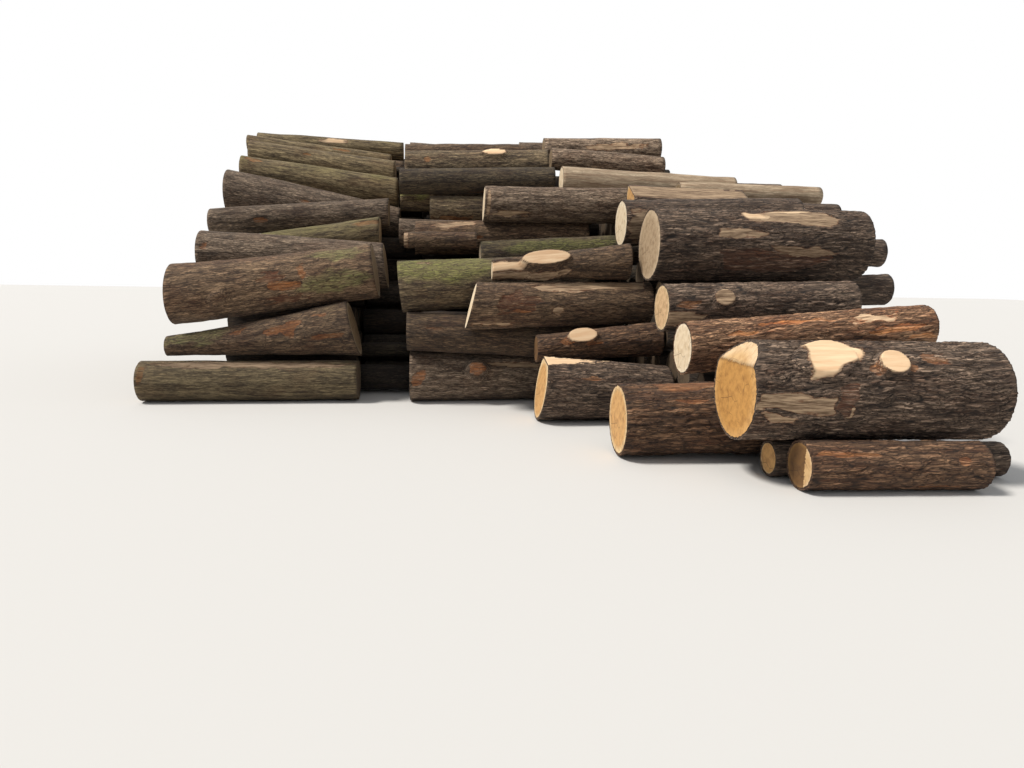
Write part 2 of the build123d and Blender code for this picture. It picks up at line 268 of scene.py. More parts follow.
@dataclass(frozen=True)
class BarkFinish(WoodFinish):
    """Rough bark: old ridges weathered pale, furrows painted nearly black as painted shade, moss on the
    damp side.

    The eye sees long pale ridges with dark lines between them, a mottle of lichen, and bare
    orange-brown wood where the bark has been torn off. plate_mm is the width of a ridge, and
    stretch is that width as a share of its length. furrow_share is how deep the furrows of the
    mesh are, as a share of the log's relief.
    """

    ridge: str
    ridge_pale: str
    furrow: str
    moss: str
    moss_pale: str
    bare: str
    bare_dark: str
    plate_mm: float
    stretch: float
    furrow_share: float
    cut: str = "e4c7a2"
    worn: str = "b59a7c"
    worn_dark: str = "57422f"
    bare_deep: str = "3a2115"
    warmth: float = 0.3
    line_share: float = 0.85
    bump_mm: float = 9.0
    roughness: float = 0.92

    # A fibre's width as a share of its length.
    FIBRE_STRETCH = 0.06

    # What bends the furrows: the noise's cells a metre, and how far it moves them along and across.
    BEND_CELLS = 7.0
    BEND = (0.02, 0.05, 0.05)

    # Wide and fine furrows: their number for each ridge, and how wide they are drawn.
    WIDE_FURROWS = (0.9, 0.22)
    FINE_FURROWS = (1.4, 0.06)
    FINE_DEPTH = 0.9

    # Where the value painted for the kind of wood passes into the next kind.
    TO_DARK = (0.10, 0.25)
    TO_WORN = (0.42, 0.56)
    TO_FRESH = (0.75, 0.90)

    def clouds(self, add: AddNode, grain: bpy.types.NodeSocket) -> dict[str, bpy.types.NodeSocket]:
        """Makes the cloudy patterns, values round 0.5 on the log's own coordinates.

        A row gives the stretch along the grain, the cells a metre, the detail and the roughness.
        Twenty-two cells a metre are 45 mm wide, which is a patch of lichen, and 150 are 7 mm wide,
        which is a bundle of fibres drawn coarse enough to show.

        Args:
            add: add_node bound to the material's tree.
            grain: the log's own coordinates.

        Returns:
            The patterns by name.
        """
        rows = {
            "mottle": (self.stretch, 22.0, 6.0, 0.62),
            "speck": (self.stretch, 95.0, 5.0, 0.7),
            "edge": (0.3, 26.0, 4.0, 0.65),
            "fibre": (self.FIBRE_STRETCH, 150.0, 3.0, 0.5),
            "weathered": (self.FIBRE_STRETCH, 40.0, 6.0, 0.7),
            "patchy": (0.5, 4.0, 4.0, 0.55),
        }
        made = {}
        for name, (stretch, cells, detail, rough) in rows.items():
            place = add("VectorMath", {0: grain, 1: (stretch, 1.0, 1.0)}, operation="MULTIPLY")
            made[name] = add(
                "TexNoise", {"Vector": place, "Scale": cells, "Detail": detail, "Roughness": rough}
            )
        return made

    def furrows(
        self, add: AddNode, grain: bpy.types.NodeSocket, painted: bpy.types.NodeSocket
    ) -> bpy.types.NodeSocket:
        """Dark furrows from 0 to 1 on coordinates that a noise bends.

        Wide ones are the edges of stretched cells. Fine ones are where a noise is near its middle
        value. The furrows of the mesh, which are painted on it, are kept.

        Args:
            add: add_node bound to the material's tree.
            grain: the log's own coordinates.
            painted: the depth of the mesh's own furrows.

        Returns:
            The greatest of the three.
        """
        ridges_a_metre = 1000 / self.plate_mm
        wide_count, wide_width = self.WIDE_FURROWS
        fine_count, fine_width = self.FINE_FURROWS
        place = add("VectorMath", {0: grain, 1: (self.stretch, 1.0, 1.0)}, operation="MULTIPLY")
        bend = add("TexNoise", {"Vector": grain, "Scale": self.BEND_CELLS, "Detail": 2.0}, out="Color")
        place = add("VectorMath", {0: bend, 1: self.BEND, 2: place}, operation="MULTIPLY_ADD")
        away = add(
            "TexVoronoi", {"Vector": place, "Scale": ridges_a_metre * wide_count},
            out="Distance", feature="DISTANCE_TO_EDGE",
        )
        wide = add("MapRange", {"Value": away, "From Max": wide_width, "To Min": 1.0, "To Max": 0.0})
        noise = add(
            "TexNoise",
            {"Vector": place, "Scale": ridges_a_metre * fine_count, "Detail": 2.5, "Roughness": 0.55},
        )
        away = add("Math", {0: noise, 1: 0.5}, operation="SUBTRACT")
        away = add("Math", {0: away}, operation="ABSOLUTE")
        fine = add("MapRange", {"Value": away, "From Max": fine_width, "To Min": 1.0, "To Max": 0.0})
        fine = add("Math", {0: fine, 1: self.FINE_DEPTH}, operation="MULTIPLY")
        deep = add("Math", {0: wide, 1: fine}, operation="MAXIMUM")
        deep = add("Math", {0: deep, 1: self.line_share}, operation="MULTIPLY")
        return add("Math", {0: painted, 1: deep}, operation="MAXIMUM")

    def bare_wood(
        self,
        add: AddNode,
        clouds: dict[str, bpy.types.NodeSocket],
        painted: dict[str, bpy.types.NodeSocket],
        ragged: bpy.types.NodeSocket,
    ) -> bpy.types.NodeSocket:
        """The colour of wood without bark: rusty, dark, worn or freshly cut, in streaks of fibre.

        Args:
            add: add_node bound to the material's tree.
            clouds: the cloudy patterns.
            painted: the values painted on the log.
            ragged: the bare patches with their torn edges.

        Returns:
            The colour, darker towards the torn edge as painted shade under the bark's edge.
        """
        mottle = clouds["mottle"]
        streak = add("Mix", {0: 0.35, 2: clouds["fibre"], 3: mottle})
        streak = add("Mix", {0: 0.5, 2: streak, 3: clouds["weathered"]})
        streak = add("MapRange", {"Value": streak, "From Min": 0.42, "From Max": 0.58})
        colour = add("Mix", {0: streak, 6: linear(self.bare_dark), 7: linear(self.bare)}, **COLOURS)
        for (low, high), dark, pale in (
            (self.TO_DARK, self.bare_deep, self.bare_dark),
            (self.TO_WORN, self.worn_dark, self.worn),
        ):
            kind = add("MapRange", {"Value": painted["cut"], "From Min": low, "From Max": high})
            wood = add("Mix", {0: streak, 6: linear(dark), 7: linear(pale)}, **COLOURS)
            colour = add("Mix", {0: kind, 6: colour, 7: wood}, **COLOURS)

        tone = add("MapRange", {"Value": mottle, "From Min": 0.35, "From Max": 0.65, "To Max": 0.45})
        wood = add("Mix", {0: tone, 6: linear(self.cut), 7: linear(self.bare)}, **COLOURS)
        low, high = self.TO_FRESH
        kind = add("MapRange", {"Value": painted["cut"], "From Min": low, "From Max": high})
        inner = add("MapRange", {"Value": painted["bare"], "From Min": 0.72, "From Max": 0.98})
        kind = add("Math", {0: kind, 1: inner}, operation="MULTIPLY")
        colour = add("Mix", {0: kind, 6: colour, 7: wood}, **COLOURS)
        # Painted shade: the bare wood darkens towards the torn edge, where the bark's edge would shade
        # it.
        inner = add("MapRange", {"Value": ragged, "From Min": 0.47, "From Max": 0.66})
        return add("Mix", {0: inner, 6: linear(self.bare_dark), 7: colour}, **COLOURS)

    def material(self) -> bpy.types.Material:
        """Builds the bark's shader from the log's own coordinates and its painted values.

        Returns:
            The material, for a mesh with the attributes that LogBuilder paints.
        """
        material, add = self.start()
        grain = add("Attribute", out="Vector", attribute_name="grain")
        painted = {
            name: add("Attribute", out="Fac", attribute_name=name)
            for name in ("furrow", "moss", "bare", "cut")
        }
        clouds = self.clouds(add, grain)
        mottle, speck, fibre = clouds["mottle"], clouds["speck"], clouds["fibre"]
        deep = self.furrows(add, grain, painted["furrow"])

        # ridges and furrows
        light = add("Mix", {0: 0.5, 2: mottle, 3: speck})
        light = add("MapRange", {"Value": light, "From Min": 0.43, "From Max": 0.58})
        bark = add("Mix", {0: light, 6: linear(self.ridge), 7: linear(self.ridge_pale)}, **COLOURS)
        warm = add("MapRange", {"Value": clouds["patchy"], "From Min": 0.48, "From Max": 0.66})
        warm = add("Math", {0: warm, 1: self.warmth}, operation="MULTIPLY")
        bark = add("Mix", {0: warm, 6: bark, 7: linear(self.bare_dark)}, **COLOURS)
        # Painted shade: the furrows, where the mesh is too coarse to shade them, are darkened to the
        # nearly black furrow colour.
        bark = add("Mix", {0: deep, 6: bark, 7: linear(self.furrow)}, **COLOURS)

        # moss on the ridges, with a speckled edge
        speckle = add("Math", {0: speck, 1: mottle}, operation="ADD")
        speckle = add("Math", {0: speckle, 1: -1.0}, operation="ADD")
        mossy = add("Math", {0: painted["moss"], 1: 2.0, 2: speckle}, operation="MULTIPLY_ADD")
        mossy = add("MapRange", {"Value": mossy, "From Min": 0.35, "From Max": 1.1})
        ridge = add("Math", {0: 0.85, 1: deep}, operation="SUBTRACT")
        mossy = add("Math", {0: mossy, 1: ridge}, operation="MULTIPLY")
        moss = add("Mix", {0: speck, 6: linear(self.moss), 7: linear(self.moss_pale)}, **COLOURS)
        bark = add("Mix", {0: mossy, 6: bark, 7: moss}, **COLOURS)

        # torn patches: their edge is ragged, and bark is left in those of rusty and dark wood
        ragged = painted["bare"]
        for noise, size in ((clouds["edge"], 1.5), (speck, 0.4)):
            noise = add("Math", {0: noise, 1: -0.5}, operation="ADD")
            ragged = add("Math", {0: noise, 1: size, 2: ragged}, operation="MULTIPLY_ADD")
        torn = add("MapRange", {"Value": ragged, "From Min": 0.44, "From Max": 0.54})
        low, high = self.TO_WORN
        left = add(
            "MapRange",
            {"Value": painted["cut"], "From Min": low, "From Max": high, "To Min": 0.75, "To Max": 0.0},
        )
        kept = add("Math", {0: deep, 1: light}, operation="MAXIMUM")
        kept = add("Math", {0: kept, 1: left}, operation="MULTIPLY")
        kept = add("Math", {0: 1.0, 1: kept}, operation="SUBTRACT")
        torn = add("Math", {0: torn, 1: kept}, operation="MULTIPLY")
        colour = add(
            "Mix", {0: torn, 6: bark, 7: self.bare_wood(add, clouds, painted, ragged)}, **COLOURS
        )

        # fine relief: furrows down and specks up on the bark, fibres on the bare wood
        relief = add("Math", {0: speck, 1: 0.35}, operation="MULTIPLY")
        relief = add("Math", {0: deep, 1: -1.0, 2: relief}, operation="MULTIPLY_ADD")
        fibres = add("Math", {0: fibre, 1: 0.2}, operation="MULTIPLY")
        relief = add("Mix", {0: torn, 2: relief, 3: fibres})
        self.end(add, colour, relief, (1.0, self.bump_mm / 1000), self.roughness)
        return material


@dataclass(frozen=True)
class SawnFinish(WoodFinish):
    """Sawn end grain: a pale sapwood rim, ochre heartwood in rings, drying cracks and dirt.

    The real rings are 3 to 5 mm wide. They are drawn 9 mm wide, because finer ones don't show.
    """

    sapwood: str
    heartwood: str
    dark: str
    crack: str
    ring_mm: float = 9.0
    roughness: float = 0.78

    def material(self) -> bpy.types.Material:
        """Builds the end grain from the place on the sawn face: across, up, and share of its radius.

        Returns:
            The material, for a mesh with the attributes that LogBuilder paints.
        """
        material, add = self.start()
        dark = linear(self.dark)
        face = add("Attribute", out="Vector", attribute_name="face")
        share = add("Attribute", out="Fac", attribute_name="rim")
        warp = add("TexNoise", {"Vector": face, "Scale": 5.0, "Detail": 3.0})
        mottle = add("TexNoise", {"Vector": face, "Scale": 14.0, "Detail": 6.0, "Roughness": 0.65})
        fine = add("TexNoise", {"Vector": face, "Scale": 160.0, "Detail": 3.0})

        # year rings, a sine of the bent distance from the pith
        away = add("VectorMath", {0: face}, out="Value", operation="LENGTH")
        away = add("Math", {0: warp, 1: 0.035, 2: away}, operation="MULTIPLY_ADD")
        ring = add("Math", {0: away, 1: TURN * 1000 / self.ring_mm}, operation="MULTIPLY")
        ring = add("Math", {0: ring}, operation="SINE")
        ring = add("MapRange", {"Value": ring, "From Min": -1.0, "From Max": 1.0})

        # sapwood outside, heartwood inside, stains and rings over both
        sap = add("Math", {0: mottle, 1: 0.25, 2: share}, operation="MULTIPLY_ADD")
        sap = add("MapRange", {"Value": sap, "From Min": 0.84, "From Max": 1.0})
        colour = add("Mix", {0: sap, 6: linear(self.heartwood), 7: linear(self.sapwood)}, **COLOURS)
        stain = add("MapRange", {"Value": mottle, "From Min": 0.44, "From Max": 0.68, "To Max": 0.75})
        colour = add("Mix", {0: stain, 6: colour, 7: dark}, **COLOURS)
        shown = add("Math", {0: ring, 1: 0.16}, operation="MULTIPLY")
        colour = add("Mix", {0: shown, 6: colour, 7: dark}, **COLOURS)

        # drying cracks: the edges of cells, in some places only
        away = add(
            "TexVoronoi", {"Vector": face, "Scale": 7.0, "Randomness": 1.0},
            out="Distance", feature="DISTANCE_TO_EDGE",
        )
        split = add("MapRange", {"Value": away, "From Max": 0.02, "To Min": 0.8, "To Max": 0.0})
        gate = add("MapRange", {"Value": warp, "From Min": 0.48, "From Max": 0.56})
        split = add("Math", {0: split, 1: gate}, operation="MULTIPLY")
        colour = add("Mix", {0: split, 6: colour, 7: linear(self.crack)}, **COLOURS)

        relief = add("Math", {0: ring, 1: 0.3, 2: fine}, operation="MULTIPLY_ADD")
        self.end(add, colour, relief, (0.3, 0.002), self.roughness)
        return material


class Bark(Enum):
    """The kinds of bark in the heap, each with its finish."""

    # Old oak: long pale ridges between furrows that stay nearly black.
    OAK = BarkFinish(
        "weathered_oak_bark", "4f3b2d", "bea28a", "140c07", "5d5f3a", "7d7c4f",
        "ad7747", "6d4128", plate_mm=27, stretch=0.09, furrow_share=1.0, line_share=0.95,
    )
    # The same bark where it is redder and less weathered.
    RED_OAK = BarkFinish(
        "reddish_oak_bark", "5f3f2a", "c19672", "190d06", "5d5f3a", "7d7c4f",
        "b87c48", "7c4427", plate_mm=26, stretch=0.09, furrow_share=1.0, line_share=0.95,
    )
    # Hardwood that lay in the shade: shallow ridges under a bright green bloom.
    MOSSY = BarkFinish(
        "mossy_hardwood_bark", "48382a", "a58f6e", "171009", "616a2d", "aeab60",
        "a86f3e", "62391f", plate_mm=22, stretch=0.13, furrow_share=0.35, line_share=0.8, bump_mm=7.0,
    )
    # Hardwood weathered to a warm grey, with narrow shallow ridges.
    GREY = BarkFinish(
        "grey_hardwood_bark", "4c3a2b", "baa188", "18100a", "5f6138", "8a8859",
        "b06f3c", "643c22", plate_mm=20, stretch=0.14, furrow_share=0.3, line_share=0.8, bump_mm=7.0,
    )
    # Hardwood with wider ridges of a warmer brown.
    BROWN = BarkFinish(
        "brown_hardwood_bark", "483424", "a98a6b", "160d07", "5f6138", "8d8c58",
        "a96c3a", "643820", plate_mm=24, stretch=0.14, furrow_share=0.6, bump_mm=8.0,
    )
    # Young stems: olive brown and nearly smooth, with faint dark lines.
    SMOOTH = BarkFinish(
        "smooth_young_bark", "4a3b26", "ab9670", "1f160c", "66662f", "969150",
        "a5703e", "64401f", plate_mm=22, stretch=0.12, furrow_share=0.1, line_share=0.6, bump_mm=4.0,
    )
    # No bark left: dry tan wood with fine dark checks.
    BARE = BarkFinish(
        "debarked_wood", "9e846a", "d6c0a2", "4a3a2b", "8a7860", "a8967a",
        "c4a681", "7d6248", plate_mm=40, stretch=0.06, furrow_share=0.1, line_share=0.45, bump_mm=3.0,
    )


class End(Enum):
    """The kinds of sawn end, each with its finish."""

    # Oak in its full colour: ochre heartwood with a slightly paler rim.
    OCHRE = SawnFinish("ochre_sawn_end_grain", "d6a564", "c6924d", "8e5f2c", "4a2d15")
    # Cut lately: a straw-coloured rim round warm heartwood.
    FRESH = SawnFinish("fresh_sawn_end_grain", "ecd2a2", "d0a266", "946338", "3a2616")
    # Light hardwood cut lately: nearly cream throughout.
    PALE = SawnFinish("pale_sawn_end_grain", "f2e3c9", "e9d5b6", "c4a67c", "5c4430")
    # A later cut across part of an end: clean and tan. On a flat end it also paints light on the part
    # that stands for a facet turned to the light.
    LATER_CUT_AND_LIT_FACET = SawnFinish("later_cut_and_painted_light_end_grain", "dcc09a", "cfab79", "a87c4c", "5c4430")
    # Oak stained by its own tannin: brown all over.
    STAINED = SawnFinish("stained_sawn_end_grain", "8c6839", "6e4d27", "483018", "33200f")
    # Light wood that has dried: an even tan.
    TAN = SawnFinish("tan_sawn_end_grain", "e4ca9f", "d8b58a", "9b7850", "4f3a26")
    # Light wood darkened to a grey tan as painted shade, for an end that lies in shade.
    PALE_IN_PAINTED_SHADE = SawnFinish("pale_end_grain_in_painted_shade", "c8b192", "b0987a", "806648", "4a3726")
    # An old cut: dull grey brown with dark cracks.
    OLD = SawnFinish("weathered_sawn_end_grain", "a8977d", "8d7658", "5a4630", "261b12")
    # An old cut nearly as dark as the bark. On the logs inside the heap it paints the shade between
    # them.
    DARK = SawnFinish("dark_end_grain_and_painted_shade", "6f604c", "5b4a37", "33281c", "17110b")


@dataclass
class MaterialShelf:
    """Makes each finish once and hands it out."""

    made: dict[str, bpy.types.Material] = field(default_factory=dict)

    def get(self, kind: Bark | End) -> bpy.types.Material:
        """The material of a kind of bark or sawn end, built the first time it is asked for.

        Args:
            kind: which one.

        Returns:
            The same material each time.
        """
        if kind.value.name not in self.made:
            self.made[kind.value.name] = kind.value.material()
        return self.made[kind.value.name]


class Detail(Enum):
    """How finely a log is meshed: metres along, metres around, and rings on a sawn end."""

    BUTT = (0.0115, 0.0088, 20)
    NEAR = (0.018, 0.0116, 10)
    FRONT = (0.040, 0.025, 5)
    UPPER = (0.075, 0.036, 3)
    HIDDEN = (0.9, 0.075, 1)

    def __init__(self, along: float, around: float, rings: int) -> None:
        """Gives the three measures their names.

        Args:
            along: metres from point to point along the log.
            around: metres from point to point round it.
            rings: rings of points on a sawn end.
        """
        self.along = along
        self.around = around
        self.rings = rings


class Face(IntEnum):
    """The material slots of a log's mesh."""

    BARK = 0
    LEFT_END = 1
    RIGHT_END = 2
    SECOND_CUT_AND_LIT_FACET = 3


class Wood(Enum):
    """What bare wood under torn bark looks like, as the value painted on it."""

    RUSTY = 0.0
    DARK = 0.33
    WORN = 0.66
    FRESH = 1.0


@dataclass(frozen=True)
class Patch:
    """A stretch of bare wood where the bark is torn off, an oval or a shape given by its corners.

    at is metres from the log's left end, angle is degrees round the log: 0 faces the front, 90 up.
    corners are pairs of the same two measures, and go before the oval's length and width.
    """

    at: float
    angle: float
    length: float
    width: float
    wood: Wood = Wood.RUSTY
    depth: float = 0.012
    corners: tuple[tuple[float, float], ...] = ()

    # The radius in metres by which the width of a shape with corners is reckoned.
    USUAL_RADIUS = 0.3

    # An oval is whole within the first share of its size and gone beyond the second.
    OVAL_EDGE = (0.55, 1.35)

    # Metres to either side of its line over which the edge of a shape with corners fades.
    CORNER_EDGE = 0.03

    @classmethod
    def shaped(cls, wood: Wood, *corners: tuple[float, float], depth: float = 0.012) -> "Patch":
        """Makes a patch with corners.

        Args:
            wood: what it shows.
            corners: metres from the left end and degrees round the log, in order.
            depth: how far it lies below the bark, in metres.

        Returns:
            The patch, with the middle and the size of its corners.
        """
        places = np.array(corners)
        at, angle = places.mean(axis=0)
        length, turn = np.ptp(places, axis=0)
        width = math.radians(turn) * cls.USUAL_RADIUS
        return cls(float(at), float(angle), float(length), width, wood, depth, corners)

    def mask(self, shape: "LogShape", x: np.ndarray, angle: np.ndarray) -> np.ndarray:
        """1 inside the patch, falling to 0 outside over some centimetres at its edge.

        Args:
            shape: the log.
            x: metres from the log's left end.
            angle: the direction round the log.

        Returns:
            The mask, of the shape of x.
        """
        radius = shape.radius_at(self.at)
        across = turn_from(angle, self.angle) * radius
        if not self.corners:
            far = np.hypot((x - self.at) / (self.length / 2), across / (self.width / 2))
            return 1 - step(*self.OVAL_EDGE, far)
        places = np.array(self.corners) - (self.at, self.angle)
        places[:, 1] = np.radians(places[:, 1]) * radius
        spots = np.stack([x - self.at, across], axis=-1)
        near = (np.abs(spots[..., 0]) < self.length) & (np.abs(across) < np.ptp(places[:, 1]))
        result = np.zeros_like(x)
        segments = np.stack([places, np.roll(places, -1, axis=0)], axis=1)
        inside = inside_distance(spots[near], segments)
        result[near] = step(-self.CORNER_EDGE, self.CORNER_EDGE, inside)
        return result


@dataclass(frozen=True)
class Moss(Patch):
    """A stretch of bright green moss."""


@dataclass(frozen=True)
class Collar:
    """A branch sawn off close to the log: a flat oval on a collar that widens into the bark.

    wood is what the oval shows. With None it keeps its bark, and a patch of its own shows the wood.
    """

    at: float
    angle: float
    length: float
    width: float
    rise: float
    wood: Wood | None = Wood.FRESH

    # How much the collar widens with depth, and how many levels are tried for its reach.
    FLARE = math.tan(math.radians(25))
    LEVELS = 44

    # The levels start at this share of the log's radius and end this far past the oval's rim.
    LOWEST = 0.9
    PAST_RIM = 0.01

    # The shares of the oval's size between which its face fades, and its depth in metres.
    FACE_EDGE = (0.93, 1.06)
    FACE_DEPTH = 0.02

    def reach(
        self, shape: "LogShape", x: np.ndarray, angle: np.ndarray
    ) -> tuple[np.ndarray, np.ndarray]:
        """The collar's distance from the log's axis in each direction, and the mask of its oval.

        A point is inside the collar if it is under the oval's plane and within an ellipse that grows
        with the depth below that plane. The furthest such point of a set of levels is kept.

        Args:
            shape: the log.
            x: metres from the log's left end.
            angle: the direction round the log.

        Returns:
            The distance, 0 where the collar doesn't reach, and the mask, both of the shape of x.
        """
        radius = shape.radius_at(self.at)
        top = radius + self.rise
        turn = turn_from(angle, self.angle)
        furthest = np.zeros_like(x)
        highest = math.hypot(top, self.width / 2) + self.PAST_RIM
        for level in np.linspace(radius * self.LOWEST, highest, self.LEVELS):
            height = level * np.cos(turn)
            grown = (top - height) * self.FLARE
            along = (x - self.at) / (self.length / 2 + np.maximum(grown, 0))
            across = level * np.sin(turn) / (self.width / 2 + np.maximum(grown, 0))
            inside = (np.hypot(along, across) <= 1) & (height <= top) & (np.cos(turn) > 0)
            furthest = np.where(inside, level, furthest)
        height = furthest * np.cos(turn)
        far = np.hypot((x - self.at) / (self.length / 2), furthest * np.sin(turn) / (self.width / 2))
        face = (1 - step(*self.FACE_EDGE, far)) * (height > top - self.FACE_DEPTH)
        return furthest, face


@dataclass(frozen=True)
class FlatFace:
    """A flat split or sawn face along a log, at depths below the bark at its two ends."""

    angle: float
    depth_left: float
    depth_right: float
    wood: Wood = Wood.FRESH

    # Directions with a smaller cosine than this don't meet the face.
    LEAST_COSINE = 0.02

    def limit(self, shape: "LogShape", x: np.ndarray, angle: np.ndarray) -> np.ndarray:
        """How far the face lets the wood reach from the axis: its distance over the cosine.

        Args:
            shape: the log.
            x: metres from the log's left end.
            angle: the direction round the log.

        Returns:
            The limit in metres, of the shape of x.
        """
        share = x / shape.length
        away = shape.radius_of(share) - (self.depth_left + (self.depth_right - self.depth_left) * share)
        cosine = np.cos(turn_from(angle, self.angle))
        return np.where(cosine > self.LEAST_COSINE, away / np.maximum(cosine, self.LEAST_COSINE), FAR)


@dataclass(frozen=True)
class FellingStep:
    """The felling cut on a butt end: above the hinge the face leans back by so many degrees."""

    hinge: float
    lean: float


@dataclass
class LogShape:
    """A tapered log between two end planes: its ends' places and radii, in metres."""

    left: float
    right: float
    centre_left: tuple[float, float]
    centre_right: tuple[float, float]
    radius_left: float
    radius_right: float

    @property
    def length(self) -> float:
        """The log's length along X."""
        return self.right - self.left

    def radius_at(self, at: float) -> float:
        """The radius so many metres from the left end."""
        return self.radius_left + (self.radius_right - self.radius_left) * at / self.length

    def radius_of(self, share: np.ndarray) -> np.ndarray:
        """The radius at each share of the length."""
        return self.radius_left + (self.radius_right - self.radius_left) * share

    def axis_of(self, share: np.ndarray) -> tuple[np.ndarray, np.ndarray]:
        """The axis at each share of the length, as its y and its z."""
        (left_y, left_z), (right_y, right_z) = self.centre_left, self.centre_right
        return left_y + (right_y - left_y) * share, left_z + (right_z - left_z) * share

    @classmethod
    def from_points(cls, points: np.ndarray, reach: float = 0.19) -> "LogShape":
        """Reads a log's axis and radii off its frame mesh.

        The points within reach of each end lie on a circle, whole or in part. Its centre and radius
        solve y^2 + z^2 = 2 a y + 2 b z + c in least squares. The two circles are then carried along
        their straight line to the end planes.

        Args:
            points: the mesh's points.
            reach: how near an end, in metres, a point counts for its circle.

        Returns:
            The log's shape.
        """
        left, right = float(points[:, 0].min()), float(points[:, 0].max())
        circles = []
        for near in (points[:, 0] < left + reach, points[:, 0] > right - reach):
            x, y, z = points[near].T
            terms = np.stack([2 * y, 2 * z, np.ones_like(y)], axis=1)
            (a, b, c), *_ = np.linalg.lstsq(terms, y * y + z * z, rcond=None)
            circles.append(np.array([x.mean(), a, b, math.sqrt(c + a * a + b * b)]))
        first, last = circles
        slope = (last - first) / (last[0] - first[0])
        at_left = first + slope * (left - first[0])
        at_right = first + slope * (right - first[0])
        return cls(
            left, right, (at_left[1], at_left[2]), (at_right[1], at_right[2]), at_left[3], at_right[3]
        )


@dataclass
class LogLook:
    """How one log is dressed: its bark, moss, ends, meshing and marks.

    relief is how deep the furrows are and sway how much the trunk swells and shrinks, in metres.
    slant is how many degrees its two ends are sawn askew: more than 0 takes off the top. On the left
    end, what lies further than shaded_end metres from the axis on the front side takes the paler
    finish of a later cut as painted light: it stands for a facet of the end turned to the light,
    which the mesh keeps flat.
    """

    bark: Bark = Bark.GREY
    detail: Detail = Detail.FRONT
    moss: float = 0.15
    # tone scales the bark's colour: partly the log's own, partly painted light and shade on logs lit or
    # shaded more than the lamps show.
    tone: float = 1.0
    relief: float = 0.009
    sway: float = 0.012
    left_end: End = End.OLD
    right_end: End = End.OLD
    slant: tuple[float, float] = (0.0, 0.0)
    marks: tuple[Patch, ...] = ()
    collars: tuple[Collar, ...] = ()
    flat: FlatFace | None = None
    felling: FellingStep | None = None
    shaded_end: float | None = None


